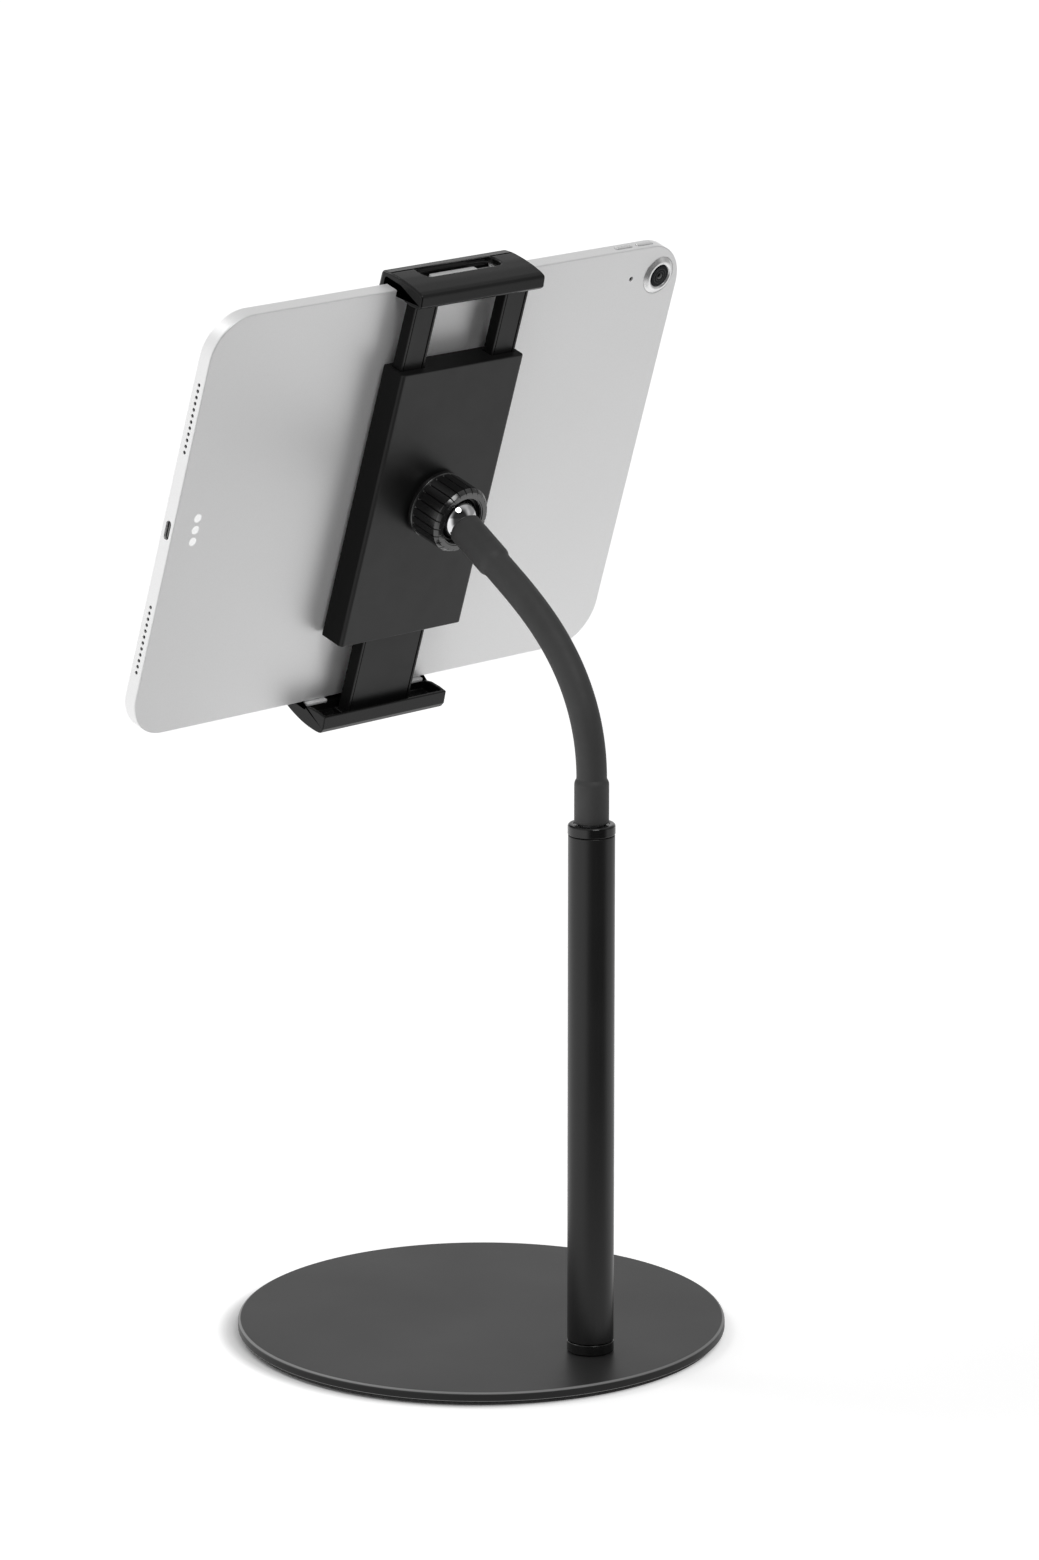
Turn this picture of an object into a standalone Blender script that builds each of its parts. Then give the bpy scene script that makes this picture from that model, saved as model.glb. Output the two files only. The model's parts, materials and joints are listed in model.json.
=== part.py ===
"""Desk stand with a gooseneck and a spring clamp that holds a flat tablet.

Blender 4.5, metres, +Z up.  The origin is the centre of the underside of the
round base.  The column stands at +Y, the gooseneck arches forward over the
base, and the tablet's screen faces -Y and a little upward.
Lengths below are in millimetres and angles in radians unless named otherwise.
"""
import math

import bmesh
import bpy
from mathutils import Matrix, Vector

MM = 0.001

# ------------------------------------------------------------ driving sizes
FIT = 0.3                # gap per side between pieces that slide or nest

BASE_R = 96.0            # steel foot plate
BASE_TOP = 5.5
PLATE_BOTTOM = 2.0
PAD_TOP = 1.7
PAD_R = 94.3
COLUMN_Y = 61.0          # column axis, behind the base's centre
COLUMN_R = 9.03
COLUMN_BORE_R = 7.5
COLUMN_END_R = 8.8       # tube's outer radius at its chamfered ends
COLUMN_CHAMFER = 0.2     # height of those chamfers
FOOT_TOP = 9.9
TUBE_BOTTOM = 10.2
TUBE_TOP = 212.4
CAP_TOP = 216.8

NECK_Z = 234.5           # where the flexible part starts
NECK_LENGTH = 95.93      # flexible length along its centre line
NECK_LAW = (1.235, 0.576, -0.826)   # lean from vertical as a cubic in s / NECK_LENGTH
NECK_JOINTS = 9
NECK_TAIL = 28.16        # straight end, flexible part to ball centre
NECK_STEPS = 20          # sides of the sleeve segments
SLEEVE_R = 5.875
COLLAR_R = 6.7
SLEEVE_BORE_R = 3.5
DOME_RADII = (SLEEVE_BORE_R, 4.4, 5.2, SLEEVE_R)    # rings that shape noses and cups
FERRULE_BORE_R, FERRULE_R = 3.2, 5.1
CORE_R = 2.4
NOSE_R = 6.6             # ball end of one sleeve segment
CUP_R = 6.9              # hollow end of the next

LEAN = math.radians(17.87)   # tablet leaning back from upright
BALL_R = 8.5
BALL_STEPS = 11          # chords from the stud's neck to the ball's far pole
STUD_R = 3.8
BALL_BACK = 25.7         # ball centre behind the tablet's back face

HOLDER_W, HOLDER_H = 64.6, 117.4
HOLDER_FRONT, HOLDER_REAR = 1.4, 12.7    # distance behind the tablet's back
HOLDER_WALL = 1.8
BOSS_R = 11.6
BOSS_CUP_R = 10.5
NUT_R = 13.6
NUT_FLUTES = 24
FLUTE_R = 0.75
FLUTE_AXIS_R = 13.75     # flute axes from the nut's axis
FLUTE_LENGTH = 14.0
FLUTE_MIDDLE = -1.9      # along the nut's axis from the ball centre

JAW_W = 65.5
RAIL_IN, RAIL_OUT = 17.8, 30.2           # edges of each upper rail from the middle
RAIL_LOW, RAIL_HIGH = -25, 90.9          # ends of the upper rails
RAIL_LIP = 1.4                           # rail left either side of its channel
UPPER_Z = (4.1, 8.9)                     # upper slider, front and rear faces
UPPER_THIN_Z = 7.4                       # depth where the upper slider's recesses meet
LOWER_RAIL_HALF = 16.4
LOWER_Z = (4.0, 9.3)                     # lower slider, front and rear faces
RACK_BACK = 12                           # untoothed side of both racks from the middle
PINION_MODULE, PINION_TEETH = 1.0, 14
PITCH_R = PINION_MODULE * PINION_TEETH / 2
PRESSURE_ANGLE = math.radians(20)
TOOTH_UP, TOOTH_DOWN = 0.8, 1.15
RACK_ROOT = PITCH_R + TOOTH_DOWN
PINION_BACKLASH, RACK_BACKLASH = 0.34, 0.1
AXLE_HOLE_R = 1.8

SPRING_R, SPRING_WIRE_R = 1.9, 0.32
SPRING_TURNS, SPRING_SIDES = 7, 9
SPRING_LOW, SPRING_HIGH = -41.8, -26.0
SPRING_X, SPRING_Z = 24.0, 6.4

TABLET_W, TABLET_H, TABLET_T = 247.6, 178.5, 6.1
TABLET_CORNER = 18.0
TABLET_WALL, TABLET_BACK = 1.2, 0.9
GLASS_INSET = 1.5
BUTTON_SLOT_Z = (-4.1, -2.0)

# ------------------------------------------------------------ clean start
for old in list(bpy.data.objects):
    bpy.data.objects.remove(old, do_unlink=True)

PARTS = bpy.data.collections.new("tablet_stand")
CUTTERS = bpy.data.collections.new("cutters")
bpy.context.scene.collection.children.link(PARTS)
bpy.context.scene.collection.children.link(CUTTERS)


# ------------------------------------------------------------ placing
def frame(origin, x, y, z):
    """Matrix from an origin in millimetres and three unit axes."""
    matrix = Matrix.Identity(4)
    for i in range(3):
        matrix[i][0], matrix[i][1], matrix[i][2] = x[i], y[i], z[i]
        matrix[i][3] = origin[i] * MM
    return matrix


def frame_along(origin, direction):
    """Frame with z along a direction in the YZ plane and x towards world -X."""
    x_axis = Vector((-1, 0, 0))
    return frame(origin, x_axis, direction.cross(x_axis), direction)


def shifted(matrix, x, y, z=0.0):
    return matrix @ Matrix.Translation((x * MM, y * MM, z * MM))


def attach(ob, matrix, parent):
    """Puts an object at a world matrix and parents it without moving it."""
    ob.matrix_world = matrix
    if parent is not None:
        ob.parent = parent
        ob.matrix_parent_inverse = parent.matrix_world.inverted()


def place(ob, matrix, mat, parent):
    """Files an object as a part, or as a hidden boolean helper if it has no material."""
    (PARTS if mat else CUTTERS).objects.link(ob)
    attach(ob, matrix, parent)
    if mat:
        ob.data.materials.clear()
        ob.data.materials.append(mat)
    else:
        ob.hide_render = True
        ob.display_type = "WIRE"
    return ob


def pivot(name, matrix, parent=None):
    """An empty on a joint's axis that carries the pieces of one body."""
    empty = bpy.data.objects.new(name, None)
    empty.empty_display_size = 0.01
    PARTS.objects.link(empty)
    attach(empty, matrix, parent)
    bpy.context.view_layer.update()
    return empty


# ------------------------------------------------------------ solids
def lathe(name, profile, matrix, steps, mat=None, parent=None, closed=False):
    """A turned shape: (radius, height) points that run down the outer side."""
    mesh = bpy.data.meshes.new(name)
    verts = [(radius * MM, 0.0, z * MM) for radius, z in profile]
    edges = [(i, i + 1) for i in range(len(verts) - 1)]
    if closed:
        edges.append((len(verts) - 1, 0))
    mesh.from_pydata(verts, edges, [])
    ob = bpy.data.objects.new(name, mesh)
    turn = ob.modifiers.new("turn", "SCREW")
    turn.axis = "Z"
    turn.angle = 2 * math.pi
    turn.screw_offset = 0.0
    turn.steps = steps
    turn.render_steps = steps
    turn.use_merge_vertices = True
    turn.merge_threshold = 0.00001
    turn.use_smooth_shade = True
    return place(ob, matrix, mat, parent)


def box(name, matrix, mat=None, parent=None, *, x, y, z):
    """A block from its low and high sides along each local axis."""
    bpy.ops.mesh.primitive_cube_add(size=1.0)
    ob = bpy.context.active_object
    ob.name = name
    for collection in list(ob.users_collection):
        collection.objects.unlink(ob)
    ob.data.transform(Matrix.Diagonal([(side[1] - side[0]) * MM for side in (x, y, z)] + [1.0]))
    middle = [(side[0] + side[1]) / 2 for side in (x, y, z)]
    return place(ob, shifted(matrix, *middle), mat, parent)


def poly_curve(name, points, dimensions, cyclic):
    curve = bpy.data.curves.new(name, "CURVE")
    curve.dimensions = dimensions
    spline = curve.splines.new("POLY")
    spline.points.add(len(points) - 1)
    for target, (x, y, z) in zip(spline.points, points):
        target.co = (x * MM, y * MM, z * MM, 1.0)
    spline.use_cyclic_u = cyclic
    return curve


def mesh_from_curve(name, curve, matrix, mat, parent):
    """Makes a welded mesh object from a curve."""
    source = bpy.data.objects.new(name + "_curve", curve)
    PARTS.objects.link(source)
    bpy.context.view_layer.update()
    depsgraph = bpy.context.evaluated_depsgraph_get()
    mesh = bpy.data.meshes.new_from_object(source.evaluated_get(depsgraph))
    bpy.data.objects.remove(source, do_unlink=True)
    bm = bmesh.new()
    bm.from_mesh(mesh)
    bmesh.ops.remove_doubles(bm, verts=bm.verts, dist=0.000002)
    bmesh.ops.recalc_face_normals(bm, faces=bm.faces)
    bm.to_mesh(mesh)
    bm.free()
    mesh.name = name
    return place(bpy.data.objects.new(name, mesh), matrix, mat, parent)


def prism(name, outline, z, matrix, mat=None, parent=None):
    """A flat (x, y) outline extruded from z[0] to z[1]."""
    points = [(px, py, 0.0) for px, py in outline]
    curve = poly_curve(name + "_outline", points, "2D", cyclic=True)
    curve.fill_mode = "BOTH"
    curve.extrude = (z[1] - z[0]) / 2 * MM
    return mesh_from_curve(name, curve, shifted(matrix, 0, 0, (z[0] + z[1]) / 2), mat, parent)


def wire(name, points, radius, matrix, mat, parent):
    """A capped round bar along a polyline."""
    curve = poly_curve(name + "_line", points, "3D", cyclic=False)
    curve.bevel_depth = radius * MM
    curve.bevel_resolution = 0
    curve.use_fill_caps = True
    return mesh_from_curve(name, curve, matrix, mat, parent)


def boolean(ob, other, operation="DIFFERENCE"):
    modifier = ob.modifiers.new(operation.lower(), "BOOLEAN")
    modifier.operation = operation
    modifier.solver = "EXACT"
    modifier.object = other


# ------------------------------------------------------------ outlines and profiles
SIDES = (("left", -1), ("right", 1))     # along the tablet frame's x


def span(middle, length):
    return (middle - length / 2, middle + length / 2)


def grown(low_high, gap):
    return (low_high[0] - gap, low_high[1] + gap)


def side_span(side, inner, outer):
    """Low and high x of a strip on one side of the middle."""
    return sorted((side * inner, side * outer))


def rounded(width, height, radius, steps, centre_y=0.0):
    """Outline of a rectangle with rounded corners."""
    points = []
    for k, (sx, sy) in enumerate(((1, 1), (-1, 1), (-1, -1), (1, -1))):
        for i in range(steps + 1):
            angle = math.pi / 2 * (k + i / steps)
            points.append((sx * (width / 2 - radius) + radius * math.cos(angle),
                           centre_y + sy * (height / 2 - radius) + radius * math.sin(angle)))
    return points


def rod(radius, low, high):
    """Profile of a plain cylinder."""
    return [(0, high), (radius, high), (radius, low), (0, low)]


def sphere(radius, degrees):
    """Profile points on a sphere at the origin; angles from -z."""
    return [(radius * math.sin(math.radians(a)), -radius * math.cos(math.radians(a)))
            for a in degrees]


def dome(radius, centre_z, ring_radii):
    """Profile points on the upper half of a sphere, at given distances from the axis."""
    return [(ring, centre_z + math.sqrt(radius ** 2 - ring * ring)) for ring in ring_radii]


def pinion_outline():
    """Involute teeth, one of them centred on +x."""
    def involute(angle):
        return math.tan(angle) - angle

    base_r = PITCH_R * math.cos(PRESSURE_ANGLE)
    tip_r = PITCH_R + TOOTH_UP
    half = (math.pi * PINION_MODULE / 2 - PINION_BACKLASH) / (2 * PITCH_R)
    radii = [base_r + (tip_r - base_r) * t for t in (0.0, 0.35, 0.7, 1.0)]
    turns = [half + involute(PRESSURE_ANGLE) - involute(math.acos(base_r / radius))
             for radius in radii]
    flank = [(PITCH_R - TOOTH_DOWN, turns[0])] + list(zip(radii, turns))
    points = []
    for k in range(PINION_TEETH):
        middle = 2 * math.pi * k / PINION_TEETH
        for side, steps in ((-1, flank), (1, flank[::-1])):
            for radius, turn in steps:
                angle = middle + side * turn
                points.append((radius * math.cos(angle), radius * math.sin(angle)))
    return points


def rack_teeth(face, low, high):
    """Rack flank points going up +y; face is +1 if the teeth point to +x.
    The middle of a space between teeth is at y = 0."""
    pitch = math.pi * PINION_MODULE
    slope = math.tan(PRESSURE_ANGLE)
    half = (pitch / 2 - RACK_BACKLASH) / 2
    root_half = half + TOOTH_DOWN * slope
    tip_half = half - TOOTH_UP * slope
    root_x, tip_x = -face * RACK_ROOT, -face * (PITCH_R - TOOTH_UP)
    points = []
    k = math.ceil((low + root_half) / pitch - 0.5)
    while (k + 0.5) * pitch + root_half < high:
        middle = (k + 0.5) * pitch
        points += [(root_x, middle - root_half), (tip_x, middle - tip_half),
                   (tip_x, middle + tip_half), (root_x, middle + root_half)]
        k += 1
    return points


# ------------------------------------------------------------ materials
def material(name, rgb, rough, metal=0.0):
    mat = bpy.data.materials.new(name)
    mat.use_nodes = True
    shader = mat.node_tree.nodes["Principled BSDF"]
    shader.inputs["Base Color"].default_value = (*rgb, 1.0)
    shader.inputs["Roughness"].default_value = rough
    shader.inputs["Metallic"].default_value = metal
    mat.diffuse_color = (*rgb, 1.0)
    return mat


STEEL_BLACK = material("base_black", rgb=(0.035, 0.035, 0.037), rough=0.62, metal=0.1)
TUBE_BLACK = material("column_black", rgb=(0.02, 0.02, 0.021), rough=0.34, metal=0.3)
CAP_BLACK = material("cap_black", rgb=(0.012, 0.012, 0.013), rough=0.22)
RUBBER = material("rubber_black", rgb=(0.028, 0.028, 0.03), rough=0.72)
FOAM = material("foam_pad", rgb=(0.02, 0.02, 0.02), rough=0.9)
PLASTIC = material("holder_black", rgb=(0.022, 0.022, 0.024), rough=0.45)
JAW_PLASTIC = material("jaw_black", rgb=(0.02, 0.02, 0.022), rough=0.36)
NUT_PLASTIC = material("nut_black", rgb=(0.016, 0.016, 0.017), rough=0.3)
CHROME = material("chrome", rgb=(0.85, 0.85, 0.86), rough=0.06, metal=1.0)
ZINC = material("zinc_steel", rgb=(0.6, 0.6, 0.62), rough=0.3, metal=1.0)
NYLON = material("nylon", rgb=(0.75, 0.74, 0.7), rough=0.45)
ACETAL = material("black_acetal", rgb=(0.015, 0.015, 0.016), rough=0.35)
SILICONE = material("clear_silicone", rgb=(0.8, 0.8, 0.8), rough=0.4)
ALU = material("tablet_alu", rgb=(0.78, 0.78, 0.79), rough=0.36, metal=0.9)
GLASS = material("screen_glass", rgb=(0.01, 0.01, 0.012), rough=0.05)
PANEL = material("screen_panel", rgb=(0.03, 0.03, 0.035), rough=0.3)
CELL = material("battery_cell", rgb=(0.12, 0.12, 0.13), rough=0.5)
BOARD = material("circuit_board", rgb=(0.02, 0.09, 0.05), rough=0.5)
LENS = material("lens_black", rgb=(0.01, 0.01, 0.015), rough=0.05)


# ------------------------------------------------------------ frames
def neck_lean(length):
    """Lean from vertical at a length along the flexible part."""
    t = length / NECK_LENGTH
    first, second, third = NECK_LAW
    return first * t + second * t * t + third * t ** 3


def neck_direction(length):
    angle = neck_lean(length)
    return Vector((0.0, -math.sin(angle), math.cos(angle)))


UP = Matrix.Identity(4)
COLUMN = shifted(UP, 0.0, COLUMN_Y)

# hinge points: one straight link between neighbours
LINK = NECK_LENGTH / NECK_JOINTS
hinges = [Vector((0.0, COLUMN_Y, NECK_Z + LINK / 2))]
for k in range(1, NECK_JOINTS):
    hinges.append(hinges[-1] + LINK * neck_direction(LINK * k))
end_dir = neck_direction(NECK_LENGTH)
neck_end = hinges[-1] + (LINK / 2) * end_dir
ball = neck_end + NECK_TAIL * end_dir

# tablet frame: x to the right seen from behind, y up along the tablet, z out of its back
TAB_X = Vector((-1.0, 0.0, 0.0))
TAB_Y = Vector((0.0, math.sin(LEAN), math.cos(LEAN)))
TAB_Z = Vector((0.0, math.cos(LEAN), -math.sin(LEAN)))
TAB_ORIGIN = ball - BALL_BACK * TAB_Z
TAB = frame(TAB_ORIGIN, TAB_X, TAB_Y, TAB_Z)
# tablet axes at the ball centre
SOCKET = frame(ball, TAB_X, TAB_Y, TAB_Z)
# stud frame: z from the ball towards the neck
STUD = frame_along(ball, -end_dir)
# jaw frame: x away from the tablet's back, y up along it
JAW = frame(TAB_ORIGIN, TAB_Z, TAB_Y, -TAB_X)
# slot frame: x as the tablet's, y out of its back, z down along it
SLOT = frame(TAB_ORIGIN, TAB_X, TAB_Z, -TAB_Y)

# ------------------------------------------------------------ base
# Every profile below lists (radius, height) points.
root = pivot("stand_root", UP)

base_plate = lathe("base_plate", [
    (0, BASE_TOP), (BASE_R - 0.7, BASE_TOP), (BASE_R - 0.2, BASE_TOP - 0.2),
    (BASE_R, BASE_TOP - 0.7), (BASE_R, PLATE_BOTTOM + 0.6), (BASE_R - 0.4, PLATE_BOTTOM + 0.1),
    (BASE_R - 0.8, PLATE_BOTTOM), (0, PLATE_BOTTOM)], UP, 72, STEEL_BLACK, root)
boolean(base_plate, lathe("cut_countersink", [
    (0, 6.0), (3.4, 6.0), (3.4, 5.0), (6.4, 2.0), (6.6, 1.5), (0, 1.5)], COLUMN, 16))

base_pad = lathe("base_pad", rod(PAD_R, 0, PAD_TOP), UP, 56, FOAM, root)
boolean(base_pad, lathe("cut_pad_hole", rod(8, -1, 3), COLUMN, 16))

lathe("base_screw", [
    (0, 17), (2.5, 17), (2.9, 16.5), (2.9, 5.2), (5.9, 2.35), (2.0, 2.35), (2.0, 4.0),
    (0, 4.0)], COLUMN, 12, ZINC, root)

# ------------------------------------------------------------ column
lathe("column_foot", [
    (0, 27), (6.9, 27), (7.2, 26.5), (7.2, FOOT_TOP), (8.9, FOOT_TOP), (9.15, 9.6),
    (9.15, 6.1), (8.85, 5.8), (3.2, 5.8), (3.2, 20), (0, 20)], COLUMN, 28, CAP_BLACK, root)

lathe("column_tube", [
    (COLUMN_BORE_R, TUBE_TOP), (COLUMN_END_R, TUBE_TOP), (COLUMN_R, TUBE_TOP - COLUMN_CHAMFER),
    (COLUMN_R, TUBE_BOTTOM + COLUMN_CHAMFER), (COLUMN_END_R, TUBE_BOTTOM),
    (COLUMN_BORE_R, TUBE_BOTTOM)], COLUMN, 36, TUBE_BLACK, root, closed=True)

lathe("column_cap", [
    (0, 200), (5.4, 200), (5.4, CAP_TOP), (8.2, CAP_TOP), (9.2, 215.8), (9.2, 213.0),
    (8.9, 212.7), (7.2, 212.7), (7.2, 196), (0, 196)], COLUMN, 28, CAP_BLACK, root)

lathe("lower_ferrule", [
    (0, 205), (FERRULE_BORE_R, 205), (FERRULE_BORE_R, 232.6), (FERRULE_R, 232.6),
    (FERRULE_R, 200.3), (0, 200.3)], COLUMN, 16, ZINC, root)

# ------------------------------------------------------------ gooseneck
CUP = dome(CUP_R, 0.0, DOME_RADII[::-1])     # hollow end round the hinge that carries it

lathe("sleeve_lower", dome(NOSE_R, hinges[0].z, DOME_RADII) + [
    (SLEEVE_R, 234.8), (COLLAR_R, 233.6), (COLLAR_R, 217.5), (6.4, 217.1), (5.4, 217.1),
    (5.4, 232.9), (SLEEVE_BORE_R, 232.9)], COLUMN, NECK_STEPS, RUBBER, root, closed=True)

# each segment hangs on the one before it
carrier = root
for k in range(NECK_JOINTS - 1):
    link_frame = frame_along(hinges[k], (hinges[k + 1] - hinges[k]).normalized())
    carrier = pivot(f"neck_pivot_{k + 1}", link_frame, carrier)
    lathe(f"sleeve_segment_{k + 1}", dome(NOSE_R, LINK, DOME_RADII) + CUP,
          link_frame, NECK_STEPS, RUBBER, carrier, closed=True)

HEAD = frame_along(hinges[-1], end_dir)
head = pivot("neck_head_pivot", HEAD, carrier)


def before_ball(distance):
    """Height in the head frame of a point this far short of the ball centre."""
    return LINK / 2 + NECK_TAIL - distance


lathe("sleeve_upper", [
    (5.4, before_ball(6.95)), (6.1, before_ball(6.35)), (6.6, before_ball(5.9)),
    (COLLAR_R, before_ball(6.6)), (COLLAR_R, LINK / 2 + 1.0), (SLEEVE_R, LINK / 2 - 0.2),
    *CUP, (SLEEVE_BORE_R, before_ball(25.3)), (5.4, before_ball(25.3))],
    HEAD, 24, RUBBER, head, closed=True)

lathe("upper_ferrule", [
    (FERRULE_BORE_R, 25.0), (FERRULE_R, 25.0), (FERRULE_R, 9.3), (4.1, 9.3), (4.1, 17.3),
    (FERRULE_BORE_R, 17.3)], STUD, 16, ZINC, head, closed=True)

# the ball's curve runs from the stud's neck down to its far pole
ball_sweep = 180 - math.degrees(math.asin(STUD_R / BALL_R))
ball_degrees = [ball_sweep * i / BALL_STEPS for i in range(BALL_STEPS, -1, -1)]
lathe("ball_stud", [(0, 17.0), (STUD_R - 0.3, 17.0), (STUD_R, 16.7)]
      + sphere(BALL_R, ball_degrees), STUD, 24, CHROME, head)

core_points = [Vector((0, COLUMN_Y, 206.0)), Vector((0, COLUMN_Y, NECK_Z - 2)),
               *hinges, neck_end, ball - 18.0 * end_dir]
wire("gooseneck_core", core_points, CORE_R, UP, ZINC, root)

# ------------------------------------------------------------ ball socket
SEAT_DEGREES = (0, 15, 30, 44, 58)
seat_pivot = pivot("ball_tilt_pivot", SOCKET, head)
lathe("ball_seat", sphere(BALL_R + FIT, SEAT_DEGREES)
      + sphere(BOSS_CUP_R - FIT, SEAT_DEGREES[::-1]), SOCKET, 24, ACETAL, seat_pivot)

ring_pivot = pivot("ball_swing_pivot", SOCKET, seat_pivot)
lathe("clamp_ring", [
    (8.6, 2.3), (10.1, 2.3), (10.1, 0.2), (9.85, -2.0), (8.66, -2.0), (8.8, -0.8),
    (8.85, 0.0), (8.78, 1.2)], SOCKET, 24, ACETAL, ring_pivot, closed=True)

holder = pivot("ball_spin_pivot", SOCKET, ring_pivot)
washer_pivot = pivot("nut_travel_pivot", SOCKET, holder)
lathe("thrust_washer", [(9.5, 3.3), (11.3, 3.3), (11.3, 2.6), (9.5, 2.6)],
      SOCKET, 24, ACETAL, washer_pivot, closed=True)


def flute_cutter():
    """A ring of six-sided rods that groove the nut's rim."""
    mesh = bpy.data.meshes.new("cut_flutes")
    bm = bmesh.new()
    for k in range(NUT_FLUTES):
        turn = Matrix.Rotation(2 * math.pi * (k + 0.5) / NUT_FLUTES, 4, "Z")
        bmesh.ops.create_cone(bm, cap_ends=True, segments=6, radius1=FLUTE_R * MM,
                              radius2=FLUTE_R * MM, depth=FLUTE_LENGTH * MM,
                              matrix=shifted(turn, FLUTE_AXIS_R, 0, FLUTE_MIDDLE))
    bm.to_mesh(mesh)
    bm.free()
    return place(bpy.data.objects.new("cut_flutes", mesh), SOCKET, None, None)


nut_pivot = pivot("nut_turn_pivot", SOCKET, washer_pivot)
collar_nut = lathe("collar_nut", [
    (9.4, 3.7), (9.7, 4.8), (12.3, 4.8), (NUT_R, 3.2), (NUT_R, -10.6), (12.5, -12.0),
    (12.0, -12.0), (12.0, 3.7)], SOCKET, 48, NUT_PLASTIC, nut_pivot, closed=True)
boolean(collar_nut, flute_cutter())

# ------------------------------------------------------------ holder body
HALF_W, HALF_H = HOLDER_W / 2, HOLDER_H / 2
# screw posts: name, x and y in the tablet frame
POSTS = (("upper_left", -8.0, 51.6), ("upper_right", 8.0, 51.6),
         ("lower_left", -24.0, -45.0), ("lower_right", 24.0, -45.0))

rear_cover = box("rear_cover", TAB, PLASTIC, holder,
                 x=(-HALF_W, HALF_W), y=(-HALF_H, HALF_H), z=(HOLDER_FRONT, HOLDER_REAR))
edges = rear_cover.modifiers.new("edges", "BEVEL")
edges.width = 0.6 * MM
edges.segments = 1
edges.limit_method = "ANGLE"
edges.angle_limit = math.radians(40)
boolean(rear_cover, box("cut_cavity", TAB, x=(-HALF_W + HOLDER_WALL, HALF_W - HOLDER_WALL),
                        y=(-HALF_H + HOLDER_WALL, HALF_H - HOLDER_WALL),
                        z=(0, HOLDER_REAR - HOLDER_WALL)))
for name, x, y in POSTS:
    boolean(rear_cover, lathe(f"join_post_{name}", [
        (0, 11.6), (2.3, 11.6), (2.3, 3.8), (1.1, 3.8), (1.1, 9.6), (0, 9.6)],
        shifted(TAB, x, y), 10), "UNION")
for name, side in SIDES:
    boolean(rear_cover, box(f"cut_rail_{name}", TAB,
                            x=side_span(side, RAIL_IN - FIT, RAIL_OUT + FIT),
                            y=(HALF_H - 4, HALF_H + 2), z=grown(UPPER_Z, FIT)))
boolean(rear_cover, box("cut_rail_lower", TAB, x=span(0, 2 * (LOWER_RAIL_HALF + FIT)),
                        y=(-HALF_H - 2, -HALF_H + 4), z=grown(LOWER_Z, FIT)))
# ball socket boss: hollow end faces the neck
boss = sphere(BOSS_CUP_R, range(0, 91, 18)) + [
    (BOSS_CUP_R, 0.5), (BOSS_R, 0.5), (BOSS_R, -13.9), (0, -13.9)]
boolean(rear_cover, lathe("join_boss", boss, SOCKET, 28), "UNION")

PLATE_INSET = HOLDER_WALL + FIT
front_plate = box("front_plate", TAB, PLASTIC, holder,
                  x=(-HALF_W + PLATE_INSET, HALF_W - PLATE_INSET),
                  y=(-HALF_H + PLATE_INSET, HALF_H - PLATE_INSET), z=(1.7, 3.4))
for name, x, y in POSTS:
    post = shifted(TAB, x, y)
    boolean(front_plate, lathe(f"cut_screw_{name}", [
        (0, 4), (1.3, 4), (1.3, 2.7), (2.5, 2.7), (2.5, 1), (0, 1)], post, 12))
    lathe(f"plate_screw_{name}", [
        (0, 8.6), (0.9, 8.6), (0.9, 2.45), (2.1, 2.45), (2.1, 1.75), (0.7, 1.75), (0.7, 2.1),
        (0, 2.1)], post, 10, ZINC, holder)
boolean(front_plate, lathe("cut_axle_hole", rod(AXLE_HOLE_R, 0, 5), TAB, 12))

lathe("pinion_axle", [(0, 7.85), (1.4, 7.85), (1.5, 7.7), (1.5, 1.75), (0, 1.75)],
      TAB, 12, ZINC, holder)

for name, side in SIDES:
    box(f"holder_pad_{name}", TAB, FOAM, holder,
        x=side_span(side, 17.0, 27.0), y=(-50.0, 50.0), z=(0.35, HOLDER_FRONT))


def spring_points(centre_x):
    """A helix along local y."""
    count = SPRING_TURNS * SPRING_SIDES
    points = []
    for i in range(count + 1):
        angle = 2 * math.pi * i / SPRING_SIDES
        points.append((centre_x + SPRING_R * math.cos(angle),
                       SPRING_LOW + (SPRING_HIGH - SPRING_LOW) * i / count,
                       SPRING_Z + SPRING_R * math.sin(angle)))
    return points


for name, side in SIDES:
    wire(f"clamp_spring_{name}", spring_points(side * SPRING_X), SPRING_WIRE_R,
         TAB, ZINC, holder)

# ------------------------------------------------------------ upper clamp arm
upper_arm = pivot("upper_arm_pivot", TAB, holder)

# two rails joined by a crossbar, with a rack hanging inside the left one
upper_outline = [
    (-RAIL_OUT, RAIL_LOW), (-RAIL_IN, RAIL_LOW), (-RAIL_IN, 23.9), (-RACK_BACK, 23.9),
    (-RACK_BACK, -23.5), (-RACK_ROOT, -23.5), *rack_teeth(1, -22.5, 7.0),
    (-RACK_ROOT, 23.5), (RAIL_IN, 23.5), (RAIL_IN, RAIL_LOW), (RAIL_OUT, RAIL_LOW),
    (RAIL_OUT, RAIL_HIGH), (RAIL_IN, RAIL_HIGH), (RAIL_IN, 29), (-RAIL_IN, 29),
    (-RAIL_IN, RAIL_HIGH), (-RAIL_OUT, RAIL_HIGH)]
upper_slider = prism("upper_slider", upper_outline, UPPER_Z, TAB, PLASTIC, upper_arm)
boolean(upper_slider, box("cut_arm_thin", TAB,
                          x=(-12.6, 17.2), y=(-26, 22.9), z=(UPPER_THIN_Z, 10)))
for name, side in SIDES:
    boolean(upper_slider, box(f"cut_rail_channel_{name}", TAB,
                              x=side_span(side, RAIL_IN + RAIL_LIP, RAIL_OUT - RAIL_LIP),
                              y=(-22, 82), z=(3, UPPER_THIN_Z)))

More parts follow.
